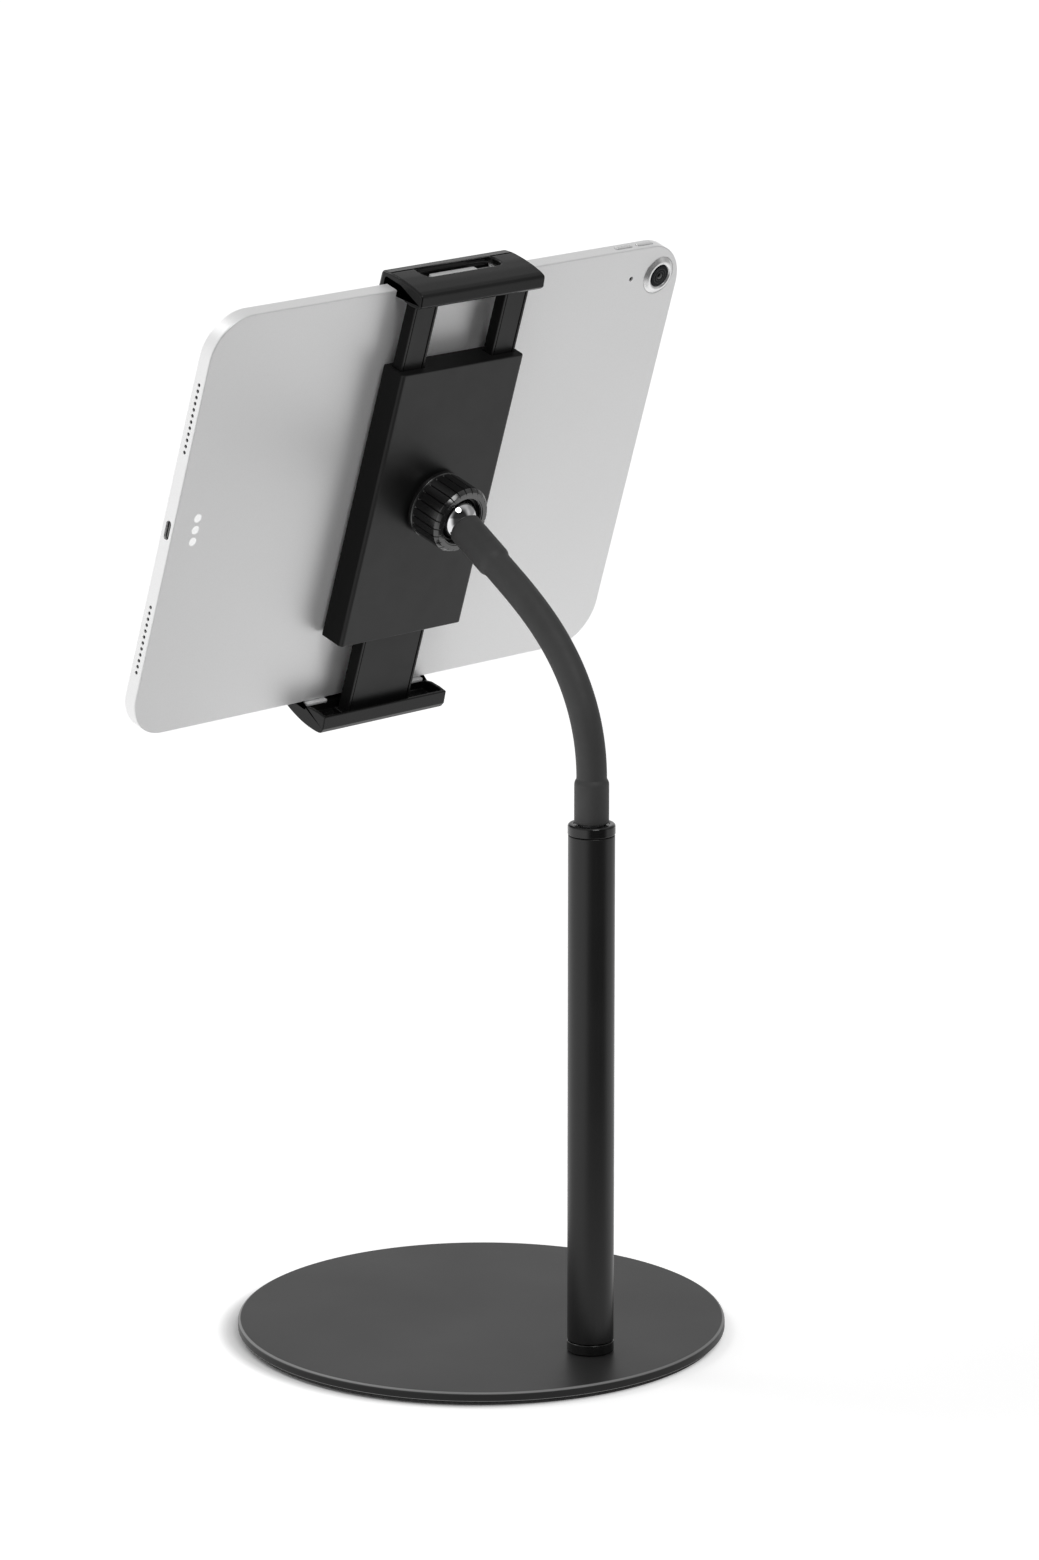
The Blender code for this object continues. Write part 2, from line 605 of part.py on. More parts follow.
# section of the upper jaw: (x, y) in the jaw frame
UPPER_JAW = [
    (-7.6, 84.8), (-6.9, 85.5), (-6.9, 91.1), (1.6, 91.1), (1.6, 87.2), (12.9, 87.2),
    (13.9, 88.3), (13.8, 91.4), (13.0, 92.7), (11.2, 93.4), (6.4, 94.0), (0.5, 94.2),
    (-5.2, 94.0), (-10.2, 93.1), (-11.1, 90.5), (-11.3, 86.0), (-10.9, 84.9)]
upper_jaw = prism("upper_jaw", UPPER_JAW, span(0, JAW_W), JAW, JAW_PLASTIC, upper_arm)
boolean(upper_jaw, prism("cut_jaw_slot", rounded(41.0, 8.2, 3.0, 3, centre_y=-2.1),
                         (-97, -90), SLOT))
for name, side in SIDES:
    boolean(upper_jaw, box(f"cut_jaw_pocket_{name}", TAB,
                           x=side_span(side, RAIL_IN - FIT, RAIL_OUT + FIT),
                           y=(86, 91.3), z=grown(UPPER_Z, FIT)))
    box(f"upper_pad_{name}", TAB, SILICONE, upper_arm,
        x=side_span(side, 21.0, 31.5), y=(89.55, 90.8), z=(-6.6, 1.3))

# ------------------------------------------------------------ lower clamp arm
lower_arm = pivot("lower_arm_pivot", TAB, holder)

lower_outline = [(-LOWER_RAIL_HALF, -93.4), (LOWER_RAIL_HALF, -93.4),
                 (LOWER_RAIL_HALF, 22.3), (-LOWER_RAIL_HALF, 22.3)]
lower_slider = prism("lower_slider", lower_outline, LOWER_Z, TAB, PLASTIC, lower_arm)
boolean(lower_slider, box("cut_lower_channel", TAB, x=(-14.8, 14.8), y=(-86, 24), z=(3, 8.0)))
boolean(lower_slider, box("cut_lower_recess", TAB, x=(-15.2, 15.2), y=(-94, 24), z=(9.0, 10)))
rack = [(RACK_BACK, -5), (RACK_BACK, 21.8), (RACK_ROOT, 21.8),
        *rack_teeth(-1, -4.5, 21.5)[::-1], (RACK_ROOT, -5)]
boolean(lower_slider, prism("join_lower_rack", rack, (4.4, 8.5), TAB), "UNION")

# section of the lower jaw: (x, y) in the jaw frame
LOWER_JAW = [
    (-10.9, -85.0), (-11.4, -86.2), (-11.4, -91.5), (-10.3, -93.6), (-7.0, -95.0),
    (-3.3, -95.9), (1.3, -96.9), (6.15, -97.2), (10.9, -96.9), (12.6, -96.5), (13.7, -94.6),
    (13.5, -89.4), (12.7, -89.1), (9.65, -89.1), (4.9, -89.3), (1.9, -90.2), (1.9, -91.1),
    (-6.9, -91.1), (-6.9, -85.6), (-7.6, -84.9)]
lower_jaw = prism("lower_jaw", LOWER_JAW, span(0, JAW_W), JAW, JAW_PLASTIC, lower_arm)
boolean(lower_jaw, box("cut_jaw_tray", TAB, x=(-31.2, 31.2), y=(-93.7, -85), z=(1.9, 12.1)))
for name, side in SIDES:
    box(f"lower_pad_{name}", TAB, SILICONE, lower_arm,
        x=side_span(side, 20.5, 31.0), y=(-90.8, -89.55), z=(-6.6, 1.5))

# ------------------------------------------------------------ pinion
pinion_pivot = pivot("pinion_pivot", TAB, holder)
pinion = prism("sync_pinion", pinion_outline(), (4.4, 7.4), TAB, NYLON, pinion_pivot)
boolean(pinion, lathe("cut_pinion_bore", rod(AXLE_HOLE_R, 4, 8), TAB, 12))

# ------------------------------------------------------------ tablet
tablet = pivot("tablet_pivot", TAB, holder)


def inset_outline(inset, steps):
    """The tablet's outline moved inwards."""
    return rounded(TABLET_W - 2 * inset, TABLET_H - 2 * inset, TABLET_CORNER - inset, steps)


def edge_button(name, on_top, middle, length, slot_across, button_across):
    """A button and its slot on the top edge, or on the +x edge.
    Middle and length run along the edge; the across spans run through it."""
    order = 1 if on_top else -1      # swaps (along, across) into (x, y)
    slot_x, slot_y = (span(middle, length), slot_across)[::order]
    button_x, button_y = (span(middle, length - 2 * FIT), button_across)[::order]
    pivot_x, pivot_y = (middle, TABLET_H / 2) if on_top else (TABLET_W / 2, middle)
    pivot_z = sum(BUTTON_SLOT_Z) / 2
    boolean(housing, box(f"cut_{name}", TAB, x=slot_x, y=slot_y, z=BUTTON_SLOT_Z))
    carrier = pivot(f"{name}_pivot", shifted(TAB, pivot_x, pivot_y, pivot_z), tablet)
    box(f"{name}_button", TAB, ALU, carrier,
        x=button_x, y=button_y, z=grown(BUTTON_SLOT_Z, -FIT))


housing = prism("tablet_housing", inset_outline(0, 6), (-TABLET_T, 0), TAB, ALU, tablet)
boolean(housing, prism("cut_tablet_cavity", inset_outline(TABLET_WALL, 5),
                       (-8, -TABLET_BACK), TAB))
boolean(housing, box("cut_port", TAB, x=(-126, -120), y=(-4.3, 4.3), z=(-4.1, -1.5)))
edge_button("volume_up", True, 91.7, 9.4, (86, 92), (87.2, 89.6))
edge_button("volume_down", True, 103.1, 9.4, (86, 92), (87.2, 89.6))
edge_button("power", False, 68.0, 12.8, (120, 126), (121.9, 124.15))
CAMERA = shifted(TAB, 112.2, 75.95)
boolean(housing, lathe("cut_camera", rod(7.9, -2, 2), CAMERA, 24))

prism("display_glass", inset_outline(GLASS_INSET, 5), (-6.05, -5.35), TAB, GLASS, tablet)
box("display_panel", TAB, PANEL, tablet, x=(-116.5, 116.5), y=(-82.5, 82.5), z=(-5.05, -3.6))
box("battery", TAB, CELL, tablet, x=(-78, 72), y=(-58, 58), z=(-3.3, -1.2))
box("logic_board", TAB, BOARD, tablet, x=(78, 104), y=(-60, 60), z=(-3.2, -1.6))
lathe("camera_ring", [(4.9, 1.0), (5.4, 1.3), (6.2, 1.3), (7.6, 0.3), (7.6, -1.9), (4.9, -1.9)],
      CAMERA, 24, ALU, tablet, closed=True)
lathe("camera_lens", [(0, 1.5), (1.2, 1.2), (2.9, 1.05), (4.65, 0.8), (4.65, -1.8), (0, -1.8)],
      CAMERA, 20, LENS, tablet)

# ------------------------------------------------------------ shading
for ob in PARTS.objects:
    if ob.type == "MESH":
        ob.data.shade_smooth()
        ob.data.set_sharp_from_angle(angle=math.radians(35))
bpy.context.view_layer.update()
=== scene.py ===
"""A tablet on a gooseneck stand.

A round foot plate lies on the floor around the origin, +Z up. A column rises from it and carries
a bendable gooseneck, whose ball joint holds a sprung clamp with the tablet between two jaws.
Shapes are written in millimetres in a local frame and placed by a matrix in metres.
"""
import json
import math

import bmesh
import bpy
import numpy as np
from mathutils import Matrix, Vector


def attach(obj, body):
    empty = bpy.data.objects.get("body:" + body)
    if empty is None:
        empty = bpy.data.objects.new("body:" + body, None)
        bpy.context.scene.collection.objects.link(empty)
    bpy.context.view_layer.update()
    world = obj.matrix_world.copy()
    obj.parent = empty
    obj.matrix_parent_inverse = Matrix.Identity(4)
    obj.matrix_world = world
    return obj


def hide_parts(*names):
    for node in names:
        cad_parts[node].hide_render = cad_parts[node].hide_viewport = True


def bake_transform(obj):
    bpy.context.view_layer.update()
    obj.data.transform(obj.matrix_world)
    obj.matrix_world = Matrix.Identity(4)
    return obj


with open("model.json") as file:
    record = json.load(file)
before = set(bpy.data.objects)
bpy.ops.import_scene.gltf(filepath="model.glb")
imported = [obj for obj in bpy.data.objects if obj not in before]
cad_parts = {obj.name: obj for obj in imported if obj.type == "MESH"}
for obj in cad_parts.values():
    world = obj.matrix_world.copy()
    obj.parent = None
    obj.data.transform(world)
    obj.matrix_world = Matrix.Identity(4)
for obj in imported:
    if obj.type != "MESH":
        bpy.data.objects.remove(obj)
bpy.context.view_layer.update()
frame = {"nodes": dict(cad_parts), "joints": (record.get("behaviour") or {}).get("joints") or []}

MM = 0.001

# =====================================================================
# Places, taken from the joints
# =====================================================================
BALL_BEHIND_TABLET = 0.0257            # ball centre to the tablet's back
JOINT = {joint["name"]: joint for joint in frame["joints"]}
BALL = Vector(JOINT["ball_tilt"]["pos_m"])
TAB_Y = Vector(JOINT["ball_swing"]["axis"]).normalized()
TAB_Z = -Vector(JOINT["ball_spin"]["axis"]).normalized()
TAB_X = TAB_Y.cross(TAB_Z)
TAB_ORIGIN = BALL - BALL_BEHIND_TABLET * TAB_Z


def frame_of(origin, x, y, z):
    """The matrix of a frame from its origin and axes."""
    matrix = Matrix.Identity(4)
    for i in range(3):
        matrix[i][0], matrix[i][1], matrix[i][2], matrix[i][3] = x[i], y[i], z[i], origin[i]
    return matrix


# Frames on the tablet's back; right and left are as seen from behind the tablet
TAB = frame_of(TAB_ORIGIN, TAB_X, TAB_Y, TAB_Z)        # x right, y up, z out of the back
JAW = frame_of(TAB_ORIGIN, TAB_Z, TAB_Y, -TAB_X)       # x out of the back, y up, z left
ALONG = frame_of(TAB_ORIGIN, TAB_X, -TAB_Z, TAB_Y)     # x right, y towards the screen, z up
PLAN = frame_of(TAB_ORIGIN, TAB_X, TAB_Z, TAB_X.cross(TAB_Z))  # x right, y out of the back, z down
SIDE = frame_of(TAB_ORIGIN, TAB_Y, TAB_Z, TAB_X)       # x up, y out of the back, z right
SOCKET = frame_of(BALL, TAB_X, TAB_Y, TAB_Z)           # as TAB, but at the ball centre

COLUMN = Matrix.Translation((0.0, JOINT["gooseneck_bend_1"]["pos_m"][1], 0.0))
NECK_JOINTS = [f"gooseneck_{'side' if k % 2 else 'bend'}_{k // 2 + 1}" for k in range(9)]
NECK_PIECES = len(NECK_JOINTS)
HINGE = [Vector(JOINT[name]["pos_m"]) for name in NECK_JOINTS]
CHAIN = ["stand"] + [JOINT[name]["child"] for name in NECK_JOINTS]
LINK = (HINGE[1] - HINGE[0]).length
END_DIR = (BALL - HINGE[-1]).normalized()
ACROSS = Vector((-1, 0, 0))
STUD = frame_of(BALL, ACROSS, ACROSS.cross(END_DIR), -END_DIR)    # z back along the gooseneck


def on_back(x, y):
    """The TAB frame moved to a point of the tablet's back."""
    return TAB @ Matrix.Translation((x * MM, y * MM, 0))


def mirrored(inner, outer):
    """Names and x spans of a left and right pair."""
    return ("left", (-outer, -inner)), ("right", (inner, outer))


# =====================================================================
# Outlines
# =====================================================================


def unit(x, y):
    length = math.hypot(x, y)
    return (x / length, y / length)


def fillet(corners, closed=True, step=11.0):
    """An outline from (x, y, corner radius) rows; step is the most degrees of arc per segment."""
    out = []
    last = len(corners) - 1
    for i, (x, y, radius) in enumerate(corners):
        if radius <= 0 or (not closed and i in (0, last)):
            out.append((x, y))
            continue
        before, after = corners[i - 1], corners[(i + 1) % len(corners)]
        back = (before[0] - x, before[1] - y)
        ahead = (after[0] - x, after[1] - y)
        u, v = unit(*back), unit(*ahead)
        angle = math.acos(max(-1.0, min(1.0, u[0] * v[0] + u[1] * v[1])))
        if angle > math.radians(176):
            out.append((x, y))
            continue
        # the arc may take up just under half of either side
        trim = min(radius / math.tan(angle / 2), 0.48 * math.hypot(*back),
                   0.48 * math.hypot(*ahead))
        radius = trim * math.tan(angle / 2)
        middle = unit(u[0] + v[0], u[1] + v[1])
        cx = x + middle[0] * radius / math.sin(angle / 2)
        cy = y + middle[1] * radius / math.sin(angle / 2)
        start = math.atan2(y + u[1] * trim - cy, x + u[0] * trim - cx)
        end = math.atan2(y + v[1] * trim - cy, x + v[0] * trim - cx)
        turn = (end - start + math.pi) % (2 * math.pi) - math.pi
        count = max(2, math.ceil(abs(math.degrees(turn)) / step))
        for j in range(count + 1):
            a = start + turn * j / count
            out.append((cx + radius * math.cos(a), cy + radius * math.sin(a)))
    return out


def arc(radius, start, end, count):
    """(radius, z) points on a circle about the turning axis; angles from +z in degrees."""
    angles = [math.radians(start + (end - start) * i / count) for i in range(count + 1)]
    return [(radius * math.sin(a), radius * math.cos(a)) for a in angles]


def rect(width, height, radius, steps, cx=0.0, cy=0.0):
    """A rectangle with rounded corners."""
    points = []
    for k, (sx, sy) in enumerate(((1, 1), (-1, 1), (-1, -1), (1, -1))):
        for i in range(steps + 1):
            a = math.pi / 2 * (k + i / steps)
            points.append((cx + sx * (width / 2 - radius) + radius * math.cos(a),
                           cy + sy * (height / 2 - radius) + radius * math.sin(a)))
    return points


def edge_levels(z0, z1, r0, r1, steps=3):
    """(inset, z) levels of a plate whose two rims are rounded to r0 and r1."""
    angles = [math.pi / 2 * i / steps for i in range(steps + 1)]
    out = [(r0 - r0 * math.sin(a), z0 + r0 - r0 * math.cos(a)) for a in angles]
    return out + [(r1 - r1 * math.cos(a), z1 - r1 + r1 * math.sin(a)) for a in angles]


# =====================================================================
# Bodies
# =====================================================================


def add_object(name, mesh):
    ob = bpy.data.objects.new(name, mesh)
    bpy.context.scene.collection.objects.link(ob)
    return ob


def make(name, verts, faces, matrix):
    """An object from points in millimetres, placed by the matrix."""
    mesh = bpy.data.meshes.new(name)
    mesh.from_pydata([(x * MM, y * MM, z * MM) for x, y, z in verts], [], faces)
    bm = bmesh.new()
    bm.from_mesh(mesh)
    bmesh.ops.recalc_face_normals(bm, faces=bm.faces)
    bm.to_mesh(mesh)
    bm.free()
    mesh.transform(matrix)
    return add_object(name, mesh)


def band(first, second, count):
    """Faces between two rings of count points that start at the given indices."""
    return [(first + i, first + (i + 1) % count, second + (i + 1) % count, second + i)
            for i in range(count)]


def turned(name, profile, matrix, sides=96, closed=False):
    """A turned body from (radius, z) points; a point on the axis becomes one vertex."""
    verts, faces, rings = [], [], []
    for radius, z in profile:
        start = len(verts)
        if radius < 1e-6:
            verts.append((0.0, 0.0, z))
        else:
            angles = [2 * math.pi * i / sides for i in range(sides)]
            verts += [(radius * math.cos(a), radius * math.sin(a), z) for a in angles]
        rings.append(range(start, len(verts)))
    followers = rings[1:] + (rings[:1] if closed else [])
    for a, b in zip(rings, followers):
        for i in range(sides):
            j = (i + 1) % sides
            if len(a) == 1:
                faces.append((a[0], b[j], b[i]))
            elif len(b) == 1:
                faces.append((a[i], a[j], b[0]))
            else:
                faces.append((a[i], a[j], b[j], b[i]))
    return make(name, verts, faces, matrix)


def lathe(name, corners, matrix, sides=96, closed=False, step=11.0):
    """A turned body from (radius, z, corner radius) rows."""
    return turned(name, fillet(corners, closed, step), matrix, sides, closed)


def loft(name, rings, matrix):
    """Rings of equally many (x, y, z) points joined in order, with flat ends."""
    count = len(rings[0])
    last = (len(rings) - 1) * count
    faces = []
    for start in range(0, last, count):
        faces += band(start, start + count, count)
    faces += [tuple(range(count)), tuple(range(last, last + count))]
    return make(name, [point for ring in rings for point in ring], faces, matrix)


def extrude(name, outline, z0, z1, matrix):
    """A flat outline pushed from z0 to z1."""
    return loft(name, [[(x, y, z) for x, y in outline] for z in (z0, z1)], matrix)


def slab_rings(width, height, radius, levels, steps, cx=0.0, cy=0.0):
    """Rounded rectangles, one for each (inset, z) level."""
    return [[(x, y, z) for x, y in rect(width - 2 * inset, height - 2 * inset,
                                        max(radius - inset, 0.02), steps, cx, cy)]
            for inset, z in levels]


def slab(name, width, height, radius, levels, matrix, steps):
    """A plate with a rounded outline, from one face to the other."""
    return loft(name, slab_rings(width, height, radius, levels, steps), matrix)


def block(name, x, y, z, rim, matrix, corner=None):
    """A block over (low, high) spans, all edges rounded; corner rounds those along z."""
    levels = edge_levels(z[0], z[1], rim, rim)
    rings = slab_rings(x[1] - x[0], y[1] - y[0], corner if corner else rim, levels, 4,
                       (x[0] + x[1]) / 2, (y[0] + y[1]) / 2)
    return loft(name, rings, matrix)


def cylinder(name, centre, radius, span, matrix, sides, axis="z"):
    """A cylinder along z, or along x with its centre given as (y, z)."""
    rings = []
    for end in span:
        ring = []
        for i in range(sides):
            a = 2 * math.pi * i / sides
            u, v = centre[0] + radius * math.cos(a), centre[1] + radius * math.sin(a)
            ring.append((u, v, end) if axis == "z" else (end, u, v))
        rings.append(ring)
    return loft(name, rings, matrix)


def merged(name, parts):
    """Several closed bodies joined into one object."""
    bm = bmesh.new()
    for part in parts:
        bm.from_mesh(part.data)
    mesh = bpy.data.meshes.new(name)
    bm.to_mesh(mesh)
    bm.free()
    for part in parts:
        bpy.data.objects.remove(part, do_unlink=True)
    return add_object(name, mesh)


def bake(ob):
    """Applies the modifiers."""
    bpy.context.view_layer.update()
    depsgraph = bpy.context.evaluated_depsgraph_get()
    mesh = bpy.data.meshes.new_from_object(ob.evaluated_get(depsgraph))
    old = ob.data
    ob.modifiers.clear()
    ob.data = mesh
    bpy.data.meshes.remove(old)


def cut(ob, *tools, operation="DIFFERENCE"):
    """Applies each tool in turn and removes it."""
    for tool in tools:
        modifier = ob.modifiers.new("cut", "BOOLEAN")
        modifier.operation = operation
        modifier.solver = "EXACT"
        modifier.object = tool
        bake(ob)
        bpy.data.objects.remove(tool, do_unlink=True)


def bevel(ob, width, segments, angle):
    """Rounds every edge sharper than the angle in degrees."""
    modifier = ob.modifiers.new("bevel", "BEVEL")
    modifier.width = width * MM
    modifier.segments = segments
    modifier.limit_method = "ANGLE"
    modifier.angle_limit = math.radians(angle)
    modifier.use_clamp_overlap = False
    modifier.miter_outer = "MITER_ARC"
    bake(ob)


def dress(ob, body, material, nodes=(), sharp=38.0, weighted=True):
    """Smooth shading, material, body and the CAD nodes this piece stands for."""
    bm = bmesh.new()
    bm.from_mesh(ob.data)
    bmesh.ops.remove_doubles(bm, verts=bm.verts, dist=1e-7)
    bmesh.ops.recalc_face_normals(bm, faces=bm.faces)
    bm.to_mesh(ob.data)
    bm.free()
    ob.data.shade_smooth()
    ob.data.set_sharp_from_angle(angle=math.radians(sharp))
    if weighted:
        modifier = ob.modifiers.new("normals", "WEIGHTED_NORMAL")
        modifier.keep_sharp = True
        modifier.weight = 50
        bake(ob)
    ob.data.materials.clear()
    ob.data.materials.append(material)
    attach(ob, body)
    if nodes:
        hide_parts(*nodes)


# =====================================================================
# Shader helpers
# =====================================================================


class Nodes:
    """A node tree with short helpers; each helper returns an output socket."""

    def __init__(self, tree):
        self.tree = tree

    def node(self, kind, **settings):
        node = self.tree.nodes.new(kind)
        for key, value in settings.items():
            setattr(node, key, value)
        return node

    def link(self, output, target):
        self.tree.links.new(output, target)

    def feed(self, target, value):
        """Links a socket to the input or sets its value; a colour is given without alpha."""
        if isinstance(value, bpy.types.NodeSocket):
            self.link(value, target)
        else:
            target.default_value = (*value, 1.0) if target.type == "RGBA" else value

    def ramp(self, fac, within=(0.3, 0.7), to=(0.0, 1.0), smooth=False):
        """Maps fac from one range to another."""
        node = self.node("ShaderNodeMapRange",
                         interpolation_type="SMOOTHSTEP" if smooth else "LINEAR")
        for prefix, (low, high) in (("From", within), ("To", to)):
            node.inputs[f"{prefix} Min"].default_value = low
            node.inputs[f"{prefix} Max"].default_value = high
        self.link(fac, node.inputs["Value"])
        return node.outputs["Result"]

    def mix(self, fac, first, second):
        node = self.node("ShaderNodeMix", data_type="RGBA")
        self.feed(node.inputs[6], first)
        self.feed(node.inputs[7], second)
        self.link(fac, node.inputs[0])
        return node.outputs[2]

    def calc(self, operation, *values):
        node = self.node("ShaderNodeMath", operation=operation)
        for target, value in zip(node.inputs, values):
            self.feed(target, value)
        return node.outputs[0]

    def plus(self, first, second):
        return self.calc("ADD", first, second)

    def times(self, first, second):
        return self.calc("MULTIPLY", first, second)

    def vector(self, operation, *values):
        node = self.node("ShaderNodeVectorMath", operation=operation)
        for target, value in zip(node.inputs, values):
            self.feed(target, value)
        return node.outputs["Vector" if operation == "NORMALIZE" else "Value"]

    def toward(self, vector, way, within, to=(0.0, 1.0)):
        """Softly maps the part of a vector that points one way."""
        return self.ramp(self.vector("DOT_PRODUCT", vector, way), within, to, smooth=True)

    def by_viewer(self, others, camera, output):
        """Shows one shader to the camera and another to all other rays."""
        rays = self.node("ShaderNodeLightPath")
        either = self.node("ShaderNodeMixShader")
        self.link(rays.outputs["Is Camera Ray"], either.inputs[0])
        self.link(others.outputs[0], either.inputs[1])
        self.link(camera.outputs[0], either.inputs[2])
        self.link(either.outputs[0], self.tree.nodes[output].inputs["Surface"])


class Mat(Nodes):
    """A material with a Principled shader and object coordinates."""

    INPUTS = {"color": "Base Color", "rough": "Roughness", "metal": "Metallic",
              "normal": "Normal", "spec": "Specular IOR Level", "coat": "Coat Weight",
              "coat_rough": "Coat Roughness", "sheen": "Sheen Weight",
              "sheen_rough": "Sheen Roughness", "trans": "Transmission Weight", "ior": "IOR",
              "sss": "Subsurface Weight", "sss_radius": "Subsurface Radius",
              "sss_scale": "Subsurface Scale", "glow_color": "Emission Color",
              "glow": "Emission Strength"}

    def __init__(self, name):
        self.material = bpy.data.materials.new(name)
        self.material.use_nodes = True
        super().__init__(self.material.node_tree)
        self.shader = self.tree.nodes["Principled BSDF"]
        self.coord = self.node("ShaderNodeTexCoord")

    def place(self, texture, stretch=None):
        """Puts a texture in object coordinates, scaled per axis where a stretch is given."""
        source = self.coord.outputs["Object"]
        if stretch:
            mapping = self.node("ShaderNodeMapping")
            mapping.inputs["Scale"].default_value = stretch
            self.link(source, mapping.inputs["Vector"])
            source = mapping.outputs["Vector"]
        self.link(source, texture.inputs["Vector"])

    def noise(self, scale, detail=2.0, rough=0.5, stretch=None, distortion=0.0):
        node = self.node("ShaderNodeTexNoise")
        node.inputs["Scale"].default_value = scale
        node.inputs["Detail"].default_value = detail
        node.inputs["Roughness"].default_value = rough
        node.inputs["Distortion"].default_value = distortion
        self.place(node, stretch)
        return node.outputs["Fac"]

    def bump(self, height, depth, strength, below=None):
        """Relief of a depth in metres, on top of another normal where one is given."""
        node = self.node("ShaderNodeBump")
        node.inputs["Strength"].default_value = strength
        node.inputs["Distance"].default_value = depth
        self.link(height, node.inputs["Height"])
        if below is not None:
            self.link(below, node.inputs["Normal"])
        return node.outputs["Normal"]

    def set(self, **values):
        for key, value in values.items():
            self.feed(self.shader.inputs[self.INPUTS[key]], value)
        return self.material


def grey(value):
    return (value, value, value)


# =====================================================================
# Materials
# =====================================================================


def moulded(name, shades, rough, grain, depth, spec=0.5, tint=(1.0, 1.0, 1.0), coat=0.0,
            relief=0.55, walls=None):
    """Injection-moulded plastic with a fine grain, faint flow marks and handling marks.

    shades, rough: (low, high) ranges. grain, depth, relief: scale, height and strength of the
    grain. walls: the share of shine kept by walls that don't face along the tablet's normal."""
    m = Mat(name)
    fine = m.noise(scale=grain, detail=2.5, rough=0.6)
    flow = m.noise(scale=38.0, detail=3.0, rough=0.55, stretch=(1.0, 0.35, 0.35))
    smear = m.noise(scale=95.0, detail=4.0, rough=0.65, distortion=0.6)
    dark, light = (tuple(shade * t for t in tint) for shade in shades)
    m.set(color=m.mix(m.ramp(flow), dark, light),
          rough=m.plus(m.ramp(smear, within=(0.35, 0.75), to=rough),
                       m.ramp(fine, to=(-0.02, 0.03))),
          spec=spec, normal=m.bump(fine, depth=depth, strength=relief), coat=coat,
          coat_rough=0.12)
    # painted shade: walls that don't face along the tablet's normal lose shine, so the side faces
    # look darker
    if walls is not None:
        facing = m.calc("ABSOLUTE", m.vector("DOT_PRODUCT", m.coord.outputs["Normal"], TAB_Z))
        m.set(spec=m.times(m.ramp(facing, within=(0.2, 0.75), to=(walls, 1.0)), spec))
    return m.material


def powder_coat():
    """Matte black powder coat: orange peel under a fine texture, a few pale specks of dust;
    painted highlights along the two rims and painted shade, by less shine, on the side band.
    """
    speck_strength, shine = 0.35, 0.34
    m = Mat("base_powder_coat")
    peel = m.noise(scale=620.0, detail=3.0, rough=0.55)
    fine = m.noise(scale=4200.0, rough=0.6)
    cloud = m.noise(scale=14.0, detail=3.0)
    dust = m.noise(scale=1500.0, detail=1.0, rough=0.4)
    specks = m.times(m.ramp(dust, within=(0.79, 0.84)), speck_strength)
    coat = m.mix(specks, m.mix(m.ramp(cloud), grey(0.020), grey(0.025)), grey(0.16))
    split = m.node("ShaderNodeSeparateXYZ")
    m.link(m.coord.outputs["Normal"], split.inputs[0])
    up = split.outputs["Z"]
    # painted highlights: the two rims are painted paler, as thin lines of light along the plate's
    # edges
    lower_rim_highlight = m.times(m.ramp(up, within=(-0.3, -0.1), to=(1.0, 0.0)),
                        m.ramp(up, within=(-0.99, -0.95)))
    upper_rim_highlight = m.times(m.ramp(up, within=(0.4, 0.65)),
                        m.ramp(up, within=(0.94, 0.99), to=(1.0, 0.0)))
    return m.set(color=m.mix(m.plus(upper_rim_highlight, lower_rim_highlight), coat, grey(0.24)),
                 rough=m.plus(m.ramp(cloud, to=(0.40, 0.46)), m.ramp(fine, to=(-0.03, 0.03))),
                 # painted shade: the side band keeps less shine than the top
                 spec=m.times(m.ramp(up, within=(0.05, 0.35), to=(0.35, 1.0)), shine),
                 normal=m.bump(fine, depth=0.000006, strength=0.4,
                               below=m.bump(peel, depth=0.000012, strength=0.4)))


def tube_coat():
    """Satin black coating over drawn tube: very fine lengthwise lines under a smooth coat."""
    m = Mat("column_satin_coat")
    line = m.noise(scale=900.0, detail=3.0, rough=0.6, stretch=(1.0, 1.0, 0.02))
    fine = m.noise(scale=3800.0)
    cloud = m.noise(scale=30.0)
    return m.set(color=m.mix(m.ramp(cloud), grey(0.012), grey(0.015)),
                 rough=m.plus(m.ramp(cloud, to=(0.31, 0.35)), m.ramp(line, to=(-0.03, 0.03))),
                 spec=0.4,
                 normal=m.bump(fine, depth=0.000006, strength=0.45,
                               below=m.bump(line, depth=0.000004, strength=0.5)))


def rubber():
    """Matte black sleeve rubber: dull skin, faint grain, a little bloom."""
    m = Mat("sleeve_matte_rubber")
    fine = m.noise(scale=2600.0, detail=3.0, rough=0.65)
    skin = m.noise(scale=260.0, detail=4.0, rough=0.6)
    bloom = m.noise(scale=45.0, detail=3.0, rough=0.6)
    return m.set(color=m.mix(m.ramp(bloom, within=(0.3, 0.75)), grey(0.046), grey(0.056)),
                 rough=m.ramp(skin, to=(0.55, 0.65)), spec=0.45, sheen=0.05, sheen_rough=0.5,
                 normal=m.bump(fine, depth=0.00001, strength=0.6,
                               below=m.bump(skin, depth=0.00002, strength=0.35)))


def foam():
    """Closed-cell foam: dull black with open pores."""
    m = Mat("foam_pad_black")
    cells = m.node("ShaderNodeTexVoronoi")
    cells.inputs["Scale"].default_value = 1500.0
    m.place(cells)
    lumps = m.noise(scale=700.0, detail=4.0, rough=0.7)
    height = m.plus(m.ramp(cells.outputs["Distance"], within=(0.0, 0.6)), lumps)
    return m.set(color=m.mix(m.ramp(lumps), grey(0.018), grey(0.045)), rough=0.85, spec=0.15,
                 normal=m.bump(height, depth=0.00008, strength=0.8))


